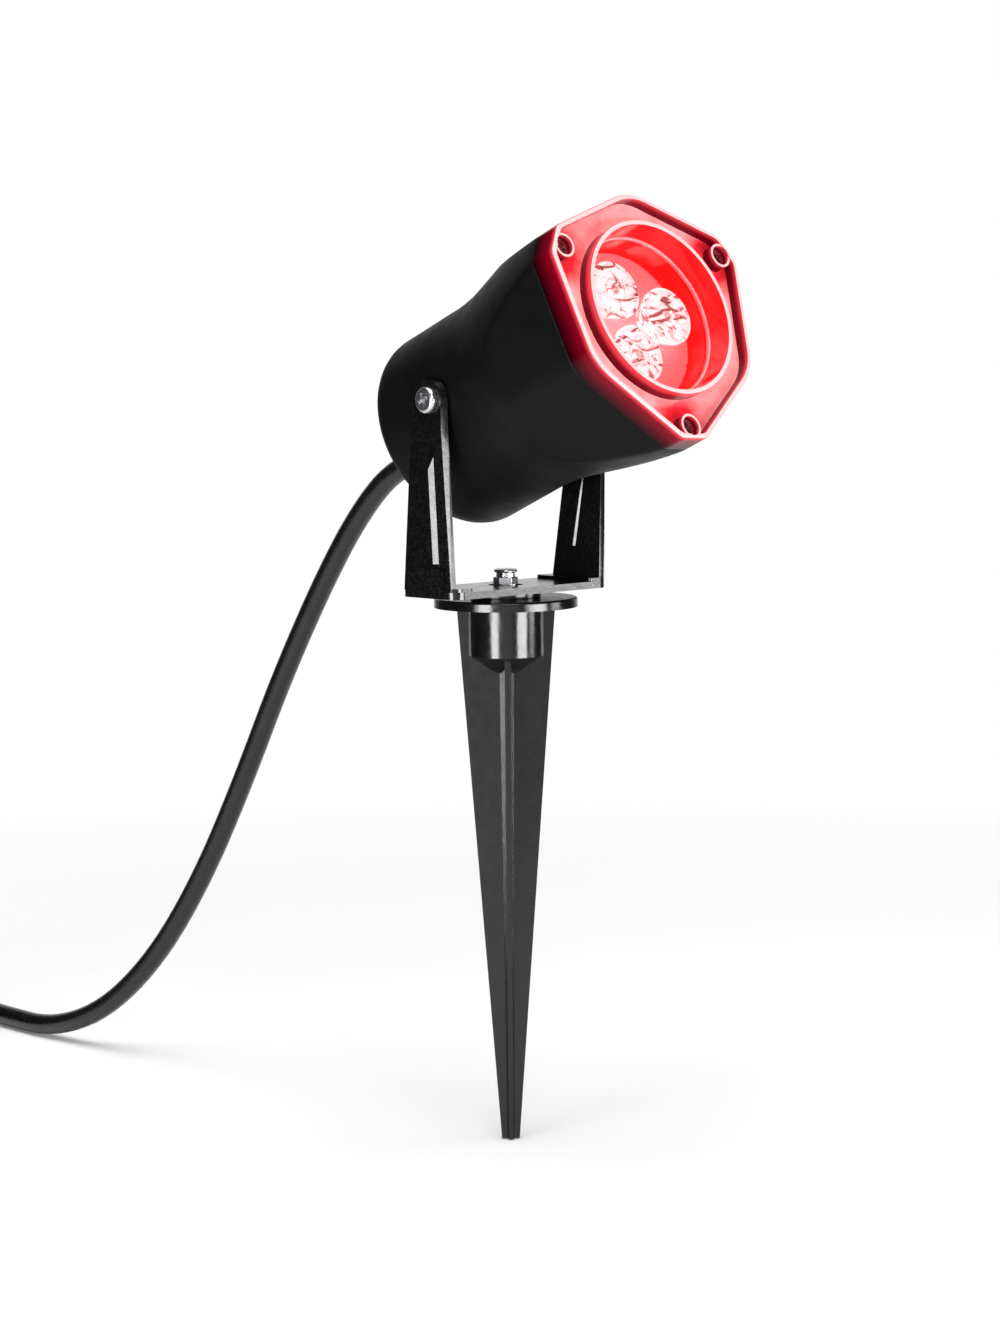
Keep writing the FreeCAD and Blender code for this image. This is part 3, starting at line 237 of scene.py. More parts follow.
def red_lens():
    """Clear red cover: clear over the window, milky red where the wall is thick, deep red at the skirt darkening to
    near black at the housing as painted shade; pink front faces over crimson walls are painted lit and shaded copies of
    one plastic, with a painted highlight on the lip's top, painted shade round the screw pockets and a painted glow
    everywhere but the window.
    """
    m = Mat("lens_red")
    rel = m.n("VectorMath", operation="SUBTRACT")
    m.link(m.co.outputs["Object"], rel.inputs[0])
    rel.inputs[1].default_value = PIVOT * MM
    along = m.n("VectorMath", operation="DOT_PRODUCT")
    m.link(rel.outputs[0], along.inputs[0])
    along.inputs[1].default_value = F
    a = along.outputs["Value"]
    size = m.n("VectorMath", operation="LENGTH")
    m.link(rel.outputs[0], size.inputs[0])
    r = m.math("SQRT", m.math("SUBTRACT", m.math("POWER", size.outputs["Value"], 2.0), m.math("POWER", a, 2.0)), 0.0)
    facing = m.n("VectorMath", operation="DOT_PRODUCT")
    m.link(m.co.outputs["Normal"], facing.inputs[0])
    facing.inputs[1].default_value = F
    face = m.ramp(facing.outputs["Value"], [(0.45, 0.0), (0.8, 1.0)])
    window = m.ramp(m.math("MULTIPLY", r, 20.0), [(0.522, 1.0), (0.529, 0.0)])
    inner = m.ramp(m.math("MULTIPLY", r, 20.0), [(0.560, 1.0), (0.572, 0.0)])
    tall = m.math("MULTIPLY", a, 10.0)
    # painted shade: the skirt's colour darkens from crimson to near black towards the housing
    skirt = m.ramp(tall, [(0.634, (0.004, 0.0, 0.001)), (0.665, (0.045, 0.0, 0.003)), (0.708, (0.13, 0.0005, 0.006)), (0.725, (0.50, 0.03, 0.045))])
    wall = m.mixed(inner, skirt, (0.80, 0.004, 0.006))
    cloud = m.ramp(m.noise(110.0, 4.0, 0.6, distortion=0.5), [(0.3, 0.0), (0.7, 1.0)])
    floor_c = m.mixed(cloud, (0.93, 0.20, 0.21), (0.98, 0.36, 0.36))
    # painted highlight: a lighter pink band on the lip's top
    top = m.ramp(tall, [(0.712, 0.0), (0.722, 1.0)])
    # painted shade: darker red painted round the three screw pockets
    near = None
    for deg in (-93.0, 27.0, 147.0):
        p = PIVOT + (X * math.cos(math.radians(deg)) + U * math.sin(math.radians(deg))) * 38.0 + F * 70.0
        d = m.n("VectorMath", operation="DISTANCE")
        m.link(m.co.outputs["Object"], d.inputs[0])
        d.inputs[1].default_value = p * MM
        near = d.outputs["Value"] if near is None else m.math("MINIMUM", near, d.outputs["Value"])
    pocket_shade_dist = m.math("ADD", m.math("MULTIPLY", near, 60.0), m.math("MULTIPLY", m.noise(160.0, 3.0, 0.6), 0.3))
    floor_c = m.mixed(m.ramp(pocket_shade_dist, [(0.56, 1.0), (0.94, 0.0)]), floor_c, (0.70, 0.015, 0.03))
    front_c = m.mixed(top, floor_c, (1.0, 0.42, 0.42))
    # lit and shaded copies of one red plastic: front faces get the painted lit pink, walls the painted shaded crimson
    c = m.mixed(face, wall, front_c)
    m.colour(m.mixed(window, c, (1.0, 0.52, 0.53)))
    # painted glow: the cover emits its own painted colours everywhere but the window, standing in for the lamp's light
    # inside
    m.link(m.mixed(window, c, (0.0, 0.0, 0.0)), m.b.inputs["Emission Color"])
    m.put(Emission_Strength=0.42)
    gloss = m.mixed(face, m.mixed(inner, (0.10, 0.10, 0.10), (0.22, 0.22, 0.22)), (0.5, 0.5, 0.5))
    m.link(gloss, m.b.inputs["Specular IOR Level"])
    m.rough(m.ramp(m.noise(260.0, 4.0, 0.6), [(0.3, 0.05), (0.7, 0.13)]))
    m.bump(m.noise(420.0, 2.0, 0.5), 0.00003)
    thick = m.mixed(face, m.mixed(inner, (0.03, 0.03, 0.03), (0.25, 0.25, 0.25)), (0.22, 0.22, 0.22))
    m.link(m.mixed(window, thick, (1.0, 1.0, 1.0)), m.b.inputs["Transmission Weight"])
    m.put(IOR=1.49)
    return m.m


mat_lens = red_lens()


def red_well():
    m = Mat("cup_red_painted_glow")
    m.colour(m.mixed(m.ramp(m.noise(160.0, 3.0, 0.6), [(0.3, 0.0), (0.7, 1.0)]), (0.78, 0.002, 0.003), (0.90, 0.006, 0.006)))
    m.rough(m.ramp(m.noise(300.0, 3.0, 0.6), [(0.3, 0.16), (0.7, 0.3)]))
    m.bump(m.noise(500.0, 2.0, 0.5), 0.00003)
    # painted glow: the cup emits red, standing in for the light that reaches it through the window
    m.put(Emission_Color=(1.0, 0.004, 0.004, 1), Emission_Strength=0.3, Specular_IOR_Level=0.2)
    return m.m


mat_cup_glow = red_well()


def lit_optic():
    """Lit moulded optic: rings about its own centre, facets, and bright patches and dark marks painted into colour and
    emission as painted light from the LED seen through the clear optic.
    """
    m = Mat("optic_painted_glow")
    near = None
    for deg in (125.0, 5.0, -115.0):
        c = PIVOT + (X * math.cos(math.radians(deg)) + U * math.sin(math.radians(deg))) * 12.4 + F * 62.7
        d = m.n("VectorMath", operation="DISTANCE")
        m.link(m.co.outputs["Object"], d.inputs[0])
        d.inputs[1].default_value = c * MM
        near = d.outputs["Value"] if near is None else m.math("MINIMUM", near, d.outputs["Value"])
    wob = m.math("ADD", m.math("MULTIPLY", near, 100.0), m.math("MULTIPLY", m.noise(260.0, 3.0, 0.6), 0.16))
    rings = m.ramp(wob, [(0.12, 0.5), (0.18, 0.2), (0.26, 1.0), (0.42, 1.0), (0.47, 0.6), (0.52, 1.0), (0.86, 1.0), (0.93, 0.7), (0.97, 1.0)])
    streak = m.ramp(m.noise(1.0, 3.0, 0.6, vec=m.scaled((120.0, 420.0, 300.0)), distortion=1.0), [(0.39, 0.0), (0.44, 1.0)])
    fleck = m.ramp(m.noise(210.0, 3.0, 0.6, distortion=1.0), [(0.38, 0.1), (0.43, 1.0)])
    lit = m.math("MULTIPLY", m.math("MULTIPLY", streak, fleck), rings)
    m.colour(m.mixed(lit, (0.22, 0.12, 0.12), (1.0, 0.97, 0.97)))
    m.rough(m.ramp(m.noise(500.0, 3.0, 0.6), [(0.3, 0.06), (0.7, 0.2)]))
    m.bump(m.voronoi(420.0), 0.0005, 0.8)
    m.put(IOR=1.49, Transmission_Weight=0.15)
    # painted glow: the optic emits its painted bright patches, though only the LED is a lamp
    m.link(m.mixed(lit, (0.05, 0.018, 0.018), (1.0, 0.95, 0.95)), m.b.inputs["Emission Color"])
    m.put(Emission_Strength=1.22)
    return m.m


mat_optic = lit_optic()


def led():
    m = Mat("led_dome")
    m.colour(m.mixed(m.noise(900.0, 2.0, 0.5), (0.9, 0.85, 0.6), (1.0, 0.95, 0.8)))
    m.rough(m.ramp(m.noise(700.0, 2.0, 0.5), [(0.3, 0.2), (0.7, 0.35)]))
    m.bump(m.noise(1500.0, 2.0, 0.5), 0.00002)
    m.put(Emission_Color=(1.0, 0.9, 0.85, 1), Emission_Strength=2.5)
    return m.m


mat_led = led()


def dull(name, a, b, r0=0.4, r1=0.6, scale=400.0, depth=0.00004, glow=None):
    m = Mat(name)
    m.colour(m.mixed(m.ramp(m.noise(scale, 4.0, 0.6), [(0.3, 0.0), (0.7, 1.0)]), a, b))
    m.rough(m.ramp(m.noise(scale * 2, 3.0, 0.6), [(0.3, r0), (0.7, r1)]))
    m.bump(m.noise(scale * 4, 3.0, 0.6), depth)
    if glow:
        m.put(Emission_Color=glow[0], Emission_Strength=glow[1])
    return m.m




def holder():
    """Holder plate between the optics: pink with a painted glow in the lit cup, and deep red painted shade in the gaps
    between the optics.
    """
    m = Mat("holder_pink_painted_glow")
    near = None
    for x, y in ((-0.6, 7.2), (-6.0, -2.2)):
        p = PIVOT + X * x + U * y + F * 61.0
        d = m.n("VectorMath", operation="DISTANCE")
        m.link(m.co.outputs["Object"], d.inputs[0])
        d.inputs[1].default_value = p * MM
        near = d.outputs["Value"] if near is None else m.math("MINIMUM", near, d.outputs["Value"])
    # painted shade: deep red spots painted in the gaps between the optics
    gap_shade = m.ramp(m.math("MULTIPLY", near, 100.0), [(0.30, 1.0), (0.42, 0.0)])
    cloud = m.ramp(m.noise(400.0, 4.0, 0.6), [(0.3, 0.0), (0.7, 1.0)])
    m.colour(m.mixed(gap_shade, m.mixed(cloud, (0.92, 0.36, 0.37), (0.96, 0.50, 0.51)), (0.35, 0.001, 0.005)))
    m.rough(m.ramp(m.noise(800.0, 3.0, 0.6), [(0.3, 0.3), (0.7, 0.45)]))
    m.bump(m.noise(1600.0, 3.0, 0.6), 0.00004)
    # painted glow: the holder emits pink, and dim red in the gaps
    m.link(m.mixed(gap_shade, (1.0, 0.34, 0.36), (0.25, 0.0, 0.003)), m.b.inputs["Emission Color"])
    m.put(Emission_Strength=0.5)
    return m.m


mat_holder_glow = holder()
mat_board = dull("board_white", (0.78, 0.78, 0.77), (0.86, 0.86, 0.85))
mat_green = dull("board_green", (0.03, 0.22, 0.08), (0.05, 0.30, 0.12))
mat_tape = dull("tape_yellow", (0.6, 0.45, 0.08), (0.72, 0.56, 0.14))
mat_capred = dull("cap_red", (0.42, 0.06, 0.04), (0.52, 0.09, 0.06), 0.15, 0.3)
mat_sleeve = dull("cap_sleeve", (0.03, 0.05, 0.16), (0.05, 0.07, 0.22), 0.15, 0.3)
mat_wirew = dull("wire_white", (0.72, 0.72, 0.70), (0.82, 0.82, 0.80))
mat_wireb = dull("wire_black", (0.02, 0.02, 0.02), (0.035, 0.035, 0.035))

# ------------------------------------------------------------------ helpers


def head(x, y, a):
    """A point of the head's own frame, in metres."""
    return (PIVOT + X * x + U * y + F * a) * MM


def obj_from(name, verts, faces, mat, body, replaces=(), smooth=True, sharp=None):
    me = bpy.data.meshes.new(name)
    me.from_pydata([tuple(v) for v in verts], [], faces)
    me.validate()
    bm = bmesh.new()
    bm.from_mesh(me)
    bmesh.ops.recalc_face_normals(bm, faces=bm.faces)
    bm.to_mesh(me)
    bm.free()
    return placed(name, me, mat, body, replaces, smooth, sharp)


def flat_true(me, limit):
    """Corner normals weighted by face area, so flat faces stay flat beside their rounded edges."""
    cos_lim = math.cos(math.radians(limit))
    at = [[] for _ in me.vertices]
    for poly in me.polygons:
        for vi in poly.vertices:
            at[vi].append(poly.index)
    area = [poly.area for poly in me.polygons]
    face = [poly.normal.copy() for poly in me.polygons]
    out = [None] * len(me.loops)
    for poly in me.polygons:
        n0 = face[poly.index]
        for li in poly.loop_indices:
            acc = Vector((0, 0, 0))
            for fi in at[me.loops[li].vertex_index]:
                if face[fi].dot(n0) > cos_lim:
                    acc += face[fi] * area[fi]
            out[li] = tuple(acc.normalized()) if acc.length > 1e-16 else tuple(n0)
    me.normals_split_custom_set(out)


def placed(name, me, mat, body, replaces=(), smooth=True, sharp=None):
    me.materials.clear()
    me.materials.append(mat)
    me.polygons.foreach_set("use_smooth", [smooth] * len(me.polygons))
    if sharp is not None:
        me.set_sharp_from_angle(angle=math.radians(sharp))
    ob = bpy.data.objects.new(name, me)
    coll.objects.link(ob)
    if body:
        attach(ob, body)
    if replaces:
        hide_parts(*replaces)
    return ob


def clone(node, name, mat, body, width=0.0, seg=2, angle=30.0, flat=0.5, edit=None, sharp=48.0):
    """A node's shape as a new piece, with its edges rounded."""
    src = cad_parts[node].data
    bm = bmesh.new()
    bm.from_mesh(src)
    bmesh.ops.remove_doubles(bm, verts=bm.verts, dist=2e-6)
    bmesh.ops.dissolve_limit(bm, angle_limit=math.radians(flat), use_dissolve_boundaries=False,
                             verts=bm.verts, edges=bm.edges)
    if edit:
        edit(bm)
    if width:
        es = [e for e in bm.edges if len(e.link_faces) == 2 and e.calc_face_angle(0) > math.radians(angle)]
        bmesh.ops.bevel(bm, geom=es, offset=width, offset_type="OFFSET", segments=seg, profile=0.5,
                        affect="EDGES", clamp_overlap=True, miter_outer="ARC")
    bmesh.ops.triangulate(bm, faces=[f for f in bm.faces if len(f.verts) > 4])
    me = bpy.data.meshes.new(name)
    bm.to_mesh(me)
    bm.free()
    me.update()
    me.polygons.foreach_set("use_smooth", [True] * len(me.polygons))
    flat_true(me, sharp)
    return placed(name, me, mat, body, (node,), True, None)


def revolve(name, profile, centre, axis, mat, body, replaces=(), n=48, sharp=30.0):
    """A closed turned piece: profile points are (radius, distance along the axis)."""
    axis = Vector(axis).normalized()
    side = axis.orthogonal().normalized()
    other = axis.cross(side)
    verts, faces, ringrow = [], [], []
    for r, a in profile:
        p = Vector(centre) + axis * a
        if r < 1e-6:
            ringrow.append([len(verts)])
            verts.append(p * MM)
        else:
            ringrow.append(list(range(len(verts), len(verts) + n)))
            for i in range(n):
                t = 2 * math.pi * i / n
                verts.append((p + (side * math.cos(t) + other * math.sin(t)) * r) * MM)
    closed = len(ringrow[0]) > 1
    rows = list(zip(ringrow, ringrow[1:] + ([ringrow[0]] if closed else [])))
    if not closed:
        rows = list(zip(ringrow, ringrow[1:]))
    for ra, rb in rows:
        for i in range(n):
            j = (i + 1) % n
            if len(ra) == 1 and len(rb) == 1:
                continue
            if len(ra) == 1:
                faces.append((ra[0], rb[i], rb[j]))
            elif len(rb) == 1:
                faces.append((ra[i], ra[j], rb[0]))
            else:
                faces.append((ra[i], ra[j], rb[j], rb[i]))
    return obj_from(name, verts, faces, mat, body, replaces, True, sharp)


# ------------------------------------------------------------------ the cord
ROUTE = [
    (0.0, 0.04495, 0.22158), (0.0, 0.0524, 0.21842), (0.0, 0.0598, 0.2138), (0.0, 0.0683, 0.2063),
    (0.0005, 0.0798, 0.1943), (0.0008, 0.0958, 0.1733), (0.001, 0.1164, 0.1424), (0.0018, 0.1375, 0.1072),
    (0.0014, 0.161, 0.0697), (-0.0011, 0.1858, 0.0372), (-0.0046, 0.2132, 0.0142), (-0.0066, 0.243, 0.00375),
    (-0.0054, 0.273, 0.00375), (-0.0016, 0.304, 0.00375), (0.00275, 0.335, 0.00495),
]
TAIL = [
    (-0.0767, 0.3498, 0.01995), (-0.0793, 0.333, 0.0199), (-0.0789, 0.316, 0.0176),
    (-0.0768, 0.3, 0.0118), (-0.0738, 0.2835, 0.0073), (-0.0703, 0.2665, 0.0073),
]
COIL = (-0.038, 0.338)
STEP = 20.0
LAYS = [(0.04075, 0.00495), (0.03325, 0.00495), (0.03325, 0.01245), (0.04075, 0.01245), (0.03325, 0.01995), (0.04075, 0.01995)]
TURNS = [(300.0, 355.0), (630.0, 685.0), (960.0, 1015.0), (1290.0, 1345.0), (1620.0, 1675.0)]


def smooth01(t):
    t = max(0.0, min(1.0, t))
    return t * t * (3 - 2 * t)


def coil_point(deg):
    r, z = LAYS[0]
    for k, (a, b) in enumerate(TURNS):
        t = (deg - a) / (b - a)
        r2, z2 = LAYS[k + 1]
        if k == 3:
            r += (r2 - r) * smooth01((t - 0.25) / 0.75)
            z += (z2 - z) * smooth01(t / 0.75)
        else:
            r += (r2 - r) * smooth01(t)
            z += (z2 - z) * smooth01(t)
    k = r / math.cos(math.radians(STEP / 2))
    a = math.radians(deg)
    return (COIL[0] + k * math.cos(a), COIL[1] + k * math.sin(a), z)


wound = [coil_point(d) for d in [14.0 + STEP * i for i in range(97)]]
points = ROUTE + wound + TAIL
curve = bpy.data.curves.new("mains_cord_line", "CURVE")
curve.dimensions = "3D"
sp = curve.splines.new("NURBS")
sp.points.add(len(points) - 1)
for p, q in zip(sp.points, points):
    p.co = (q[0], q[1], q[2], 1.0)
sp.order_u = 3
sp.use_endpoint_u = True
sp.resolution_u = 6
curve.resolution_u = 6
line = bpy.data.objects.new("mains_cord_line", curve)
coll.objects.link(line)
bpy.context.view_layer.update()
dg = bpy.context.evaluated_depsgraph_get()
lm = bpy.data.meshes.new_from_object(line.evaluated_get(dg))
path = [Vector(v.co) for v in lm.vertices]
bpy.data.meshes.remove(lm)
bpy.data.objects.remove(line)


def frames(pts):
    """Tangent, side and top directions along a line, turned as little as possible."""
    out = []
    side = None
    for i, p in enumerate(pts):
        a, b = pts[max(i - 1, 0)], pts[min(i + 1, len(pts) - 1)]
        t = (b - a).normalized()
        if side is None:
            side = t.orthogonal().normalized()
            side = Vector((1, 0, 0)) - t * t.x if abs(t.x) < 0.9 else side
            side.normalize()
        else:
            side = (side - t * side.dot(t)).normalized()
        out.append((t, side, t.cross(side)))
    return out


def tube(pts, radius, n=20):
    fr = frames(pts)
    verts, faces = [], []
    cap = radius * 0.12
    rows = [(0, -0.0, radius - cap)] + [(i, 0.0, radius) for i in range(len(pts))] + [(len(pts) - 1, 0.0, radius - cap)]
    for k, (i, d, r) in enumerate(rows):
        t, s, w = fr[i]
        p = pts[i]
        if k == 1:
            p = p + t * cap
        if k == len(rows) - 2:
            p = p - t * cap
        for j in range(n):
            a = 2 * math.pi * j / n
            verts.append(p + (s * math.cos(a) + w * math.sin(a)) * r)
    m = len(rows)
    for i in range(m - 1):
        for j in range(n):
            j2 = (j + 1) % n
            faces.append((i * n + j, i * n + j2, (i + 1) * n + j2, (i + 1) * n + j))
    verts.append(pts[0])
    verts.append(pts[-1])
    for j in range(n):
        j2 = (j + 1) % n
        faces.append((j2, j, m * n))
        faces.append(((m - 1) * n + j, (m - 1) * n + j2, m * n + 1))
    return verts, faces


CORD_R = 0.00375
v, f = tube(path, CORD_R)
cord = obj_from("mains_cord", v, f, mat_cord, None, ("cord_tube", "cord_coil", "cord_tail"))

# ------------------------------------------------------------------ the housing
FRONT = 63.4
PROFILE = [(-32.1, 27.1), (-31.6, 29.6), (-30.4, 31.4), (-28.6, 32.6), (-26.1, 33.1), (-20.0, 33.1), (-10.0, 33.1), (-4.0, 33.1), (2.0, 33.1),
           (7.0, 33.4), (13.0, 34.05), (19.0, 35.2), (25.0, 36.5), (31.0, 37.85), (37.0, 39.15), (44.0, 40.5),
           (51.0, 41.7), (59.0, 43.0), (63.4, 43.7)]


def outline(inset=0.0, n=10):
    """The head's outline: three short flats at the screws and three plain corners."""
    pts, rads = [], []
    fl, cr = 43.3 - inset, 39.7 - inset * 1.12
    hh = 5.2 - inset * 0.3
    for k in range(3):
        a = math.radians(-93 + 120 * k)
        ux, uy = math.cos(a), math.sin(a)
        pts += [(fl * ux + hh * uy, fl * uy - hh * ux), (fl * ux - hh * uy, fl * uy + hh * ux)]
        rads += [4.0, 4.0]
        a = math.radians(-33 + 120 * k)
        pts.append((cr * math.cos(a), cr * math.sin(a)))
        rads.append(18.0 - inset)
    pts = [Vector(p) for p in pts]
    out = []
    m = len(pts)
    for i in range(m):
        p = pts[i]
        a, c = (pts[i - 1] - p).normalized(), (pts[(i + 1) % m] - p).normalized()
        ang = a.angle(c)
        t = rads[i] / math.tan(ang / 2)
        cen = p + (a + c).normalized() * rads[i] / math.sin(ang / 2)
        s, e = p + a * t - cen, p + c * t - cen
        a0, a1 = math.atan2(s.y, s.x), math.atan2(e.y, e.x)
        d = (a1 - a0 + math.pi) % (2 * math.pi) - math.pi
        for q in range(n + 1):
            w = a0 + d * q / n
            out.append(cen + Vector((math.cos(w), math.sin(w))) * rads[i])
    return out


def polar(poly, th):
    """Radius of a closed star-shaped outline in a direction."""
    dx, dy = math.cos(th), math.sin(th)
    for i in range(len(poly)):
        p, q = poly[i], poly[(i + 1) % len(poly)]
        e = q - p
        det = dx * (-e.y) + dy * e.x
        if abs(det) < 1e-12:
            continue
        s = (p.x * (-e.y) + p.y * e.x) / det
        t = (dx * p.y - dy * p.x) / det
        if s > 0 and -1e-9 <= t <= 1 + 1e-9:
            return s
    return 40.0


NTH = 288
THETA = [2 * math.pi * i / NTH for i in range(NTH)]
EDGE = [polar(outline(0.0), t) for t in THETA]


def spline_r(table, a):
    """Smooth radius along a table of (distance, radius)."""
    if a <= table[0][0]:
        return table[0][1]
    if a >= table[-1][0]:
        return table[-1][1]
    for i in range(len(table) - 1):
        if table[i][0] <= a <= table[i + 1][0]:
            break
    p0 = table[max(i - 1, 0)]
    p1, p2 = table[i], table[i + 1]
    p3 = table[min(i + 2, len(table) - 1)]
    h = p2[0] - p1[0]
    m1 = (p2[1] - p0[1]) / (p2[0] - p0[0])
    m2 = (p3[1] - p1[1]) / (p3[0] - p1[0])
    t = (a - p1[0]) / h
    return ((2 * t ** 3 - 3 * t ** 2 + 1) * p1[1] + (t ** 3 - 2 * t ** 2 + t) * h * m1 +
            (-2 * t ** 3 + 3 * t ** 2) * p2[1] + (t ** 3 - t ** 2) * h * m2)


def soft_min(a, b, k=0.5):
    h = max(0.0, min(1.0, 0.5 + 0.5 * (b - a) / k))
    return b * (1 - h) + a * h - k * h * (1 - h)


def housing():
    """Outer skin, front rim, gasket groove and inner skin as one closed shell."""
    rows = []
    # rear dome, from the middle outwards; then the flaring skin
    for r, a in ((3.0, -33.28), (8.0, -33.14), (14.0, -33.0), (20.0, -32.6), (25.0, -32.2)):
        rows.append([(r, a)] * NTH)
    for a in [-32.1, -31.95, -31.6, -31.1, -30.4, -29.6, -28.6, -27.4, -26.1] + [-24 + 2.0 * i for i in range(44)] + [62.6, 63.0]:
        if -27.0 > a:
            e = 6 - (a + 32.1)
            R = 33.1 - 6 + math.sqrt(max(36 - e * e, 0.0))
        else:
            R = spline_r(PROFILE[4:], a)
        rows.append([(soft_min(R, e_, 0.55), a) for e_ in EDGE])
    rim = [soft_min(43.7, e_, 0.55) for e_ in EDGE]
    rows.append([(r - 0.12, FRONT - 0.12) for r in rim])
    rows.append([(r - 0.4, FRONT) for r in rim])
    rows.append([(36.4, FRONT)] * NTH)
    rows.append([(36.4, FRONT - 1.0)] * NTH)
    rows.append([(35.0, FRONT - 1.0)] * NTH)
    rows.append([(35.0, FRONT)] * NTH)
    rows.append([(34.5, FRONT)] * NTH)
    for r, a in ((34.5, 43.8), (32.0, 43.8), (32.0, 39.9), (34.2, 39.4), (34.2, 38.0), (33.5, 28.0), (31.6, 16.0),
                 (30.6, 9.0), (30.6, -23.0), (26.0, -29.9), (12.0, -29.9), (5.6, -29.9)):
        rows.append([(r, a)] * NTH)
    verts, faces = [], []
    gd = -1.5
    # the cord entry is a round hole through the rear, centred a little below the axis
    hole = [(5.6, gd)] * 1
    def put(row, offset=0.0):
        idx = []
        for i, (r, a) in enumerate(row):
            t = THETA[i]
            idx.append(len(verts))
            verts.append(head(r * math.cos(t), r * math.sin(t) + offset, a))
        return idx
    first = put([(5.6, -33.2)] * NTH, gd)
    rows = rows[1:]
    rows[0] = [(9.5, -33.14)] * NTH
    idx = [first]
    for k, row in enumerate(rows):
        last = k == len(rows) - 1
        idx.append(put(row, gd if (k == 0 or last) else 0.0))
    for ra, rb in zip(idx, idx[1:] + [idx[0]]):
        for i in range(NTH):
            j = (i + 1) % NTH
            faces.append((ra[i], ra[j], rb[j], rb[i]))
    return verts, faces


v, f = housing()
shell = obj_from("lamp_housing", v, f, mat_body, "head", ("rear_housing",), True, 40.0)

# ------------------------------------------------------------------ the other visible pieces
def worn_tool_edges(bm):
    """Slope the ribs' front flanks and break the arms' outer front edges, as the mould does."""
    def outer(z):
        return 0.0365 - 0.04236 * max(0.2349 - z, 0.0)

    for v in bm.verts:
        x, y, z = abs(v.co.x), v.co.y, v.co.z
        s = 1.0 if v.co.x > 0 else -1.0
        if x > outer(z) + 0.0008 and 0.190 < z < 0.2235:
            v.co.x -= s * 0.0003
            if y < -0.0048:
                v.co.y += 0.0016
        elif 0.0316 < x < 0.0334 and 0.1930 < z < 0.2245 and -0.0042 < y < 0.0010 and abs(x - (outer(z) - 0.0029)) < 0.0003:
            v.co.y += 0.0008 if z < 0.2 else 0.0004
            v.co.x += 0.0 if z < 0.2 else s * 0.00028
        elif 0.0316 < x < 0.0334 and 0.2225 < z < 0.2245 and -0.0020 < y < -0.0005 and abs(x - (outer(z) - 0.0029)) < 0.0003:
            v.co.x += s * 0.00028
    bm.normal_update()
    es = []
    for e in bm.edges:
        if len(e.link_faces) != 2:
            continue
        a, b = e.verts[0].co, e.verts[1].co
        m = (a + b) / 2
        if abs(m.x) < outer(m.z) - 0.0004 or m.y > -0.0062 or m.z < 0.1832:
            continue
        n = sorted((f.normal for f in e.link_faces), key=lambda q: abs(q.x))
        if abs(n[0].x) < 0.2 and n[0].y < -0.3 and abs(n[1].x) > 0.95 and abs(m.x) < outer(m.z) + 0.0003:
            es.append(e)
    done = bmesh.ops.bevel(bm, geom=es, offset=0.0009, offset_type="OFFSET", segments=1, profile=0.5,
                           affect="EDGES", clamp_overlap=True)
    for v in done["verts"]:
        if abs(v.co.x) > outer(v.co.z) - 0.0001 and v.co.z > 0.1845:
            v.co.y += 0.0007


lens = clone("lens_cover", "lens_front", mat_lens, "head", 0.00012, 2, 32.0)
yoke = clone("yoke", "yoke_bracket", mat_yoke, "yoke", 0.00018, 2, 25.0, edit=worn_tool_edges)
stake = clone("ground_stake", "stake_body", mat_stake, "stake", 0.0002, 2, 25.0)
clone("tilt_screws", "pivot_screws", mat_zinc, "head", 0.0001, 2, 40.0)
clone("lens_screws", "front_screws", mat_screw_red_reflection, "head", 0.0001, 2, 40.0)
clone("swivel_nut", "base_nut", mat_zinc, "stake", 0.0001, 2, 25.0)
clone("swivel_washer", "base_washer", mat_stake, "stake", 0.00015, 2, 40.0)
clone("bolt_cap", "base_cap", mat_zinc, "stake", 0.00008, 2, 40.0)
clone("tilt_washers", "pivot_washers", mat_nylon, "head", 0.0001, 2, 40.0)
plug = clone("plug_body", "plug_moulding", mat_cord, "yoke", 0.0002, 2, 40.0)
blades = clone("plug_blades", "plug_pins", mat_brass, "yoke", 0.0001, 2, 40.0)
tie = clone("cord_tie", "cord_strap", mat_nylon, "yoke", 0.0002, 2, 40.0)

# moulded boot with rounded collars where the cord leaves the housing
gp = []
g0 = -32.1
gp += [(3.8, g0 - 0.2), (7.0, g0 - 1.25), (7.4, g0 - 1.7), (7.4, g0 - 2.8), (7.1, g0 - 3.2), (6.4, g0 - 3.35)]
for i in range(5):
    z = g0 - 4.3 - 3.1 * i
    ro, ri = 6.25 - 0.31 * i, 5.0 - 0.16 * i
    gp += [(ro, z), (ro - 0.05, z - 1.1), (ro - 0.3, z - 1.45), (ri + 0.15, z - 1.6), (ri, z - 1.85), (ri, z - 2.35), (ri + 0.15, z - 2.6),
           (ro - 0.65, z - 2.8)]
gp += [(4.65, g0 - 20.0), (4.6, g0 - 21.2), (4.4, g0 - 21.5), (3.8, g0 - 21.5)]
boot = revolve("cord_boot", gp, PIVOT + U * (-1.5), F, mat_rubber, "head", ("cord_gland",), 48, 50.0)

for node, m in {
    "swivel_bolt": mat_zinc, "lock_washer": mat_zinc, "lens_gasket": mat_rubber, "light_cup": mat_cup_glow,
    "optic_holder": mat_holder_glow, "collimator_lenses": mat_optic, "led_emitters": mat_led, "led_board": mat_board,
    "board_screws": mat_zinc, "heat_sink": mat_alu, "driver_board": mat_green, "driver_screws": mat_zinc,
    "mains_transformer": mat_tape, "film_capacitor": mat_capred, "bridge_rectifier": mat_wireb,
    "filter_capacitor": mat_sleeve, "led_leads": mat_wirew, "mains_leads": mat_wireb, "cord_end": mat_cord,
    "cord_clamp": mat_nylon, "tilt_nuts": mat_zinc,
}.items():
    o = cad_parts[node]
    if not o.material_slots:
        o.data.materials.append(m)
    for s in o.material_slots:
        s.material = m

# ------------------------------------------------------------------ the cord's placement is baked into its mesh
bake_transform(cord)

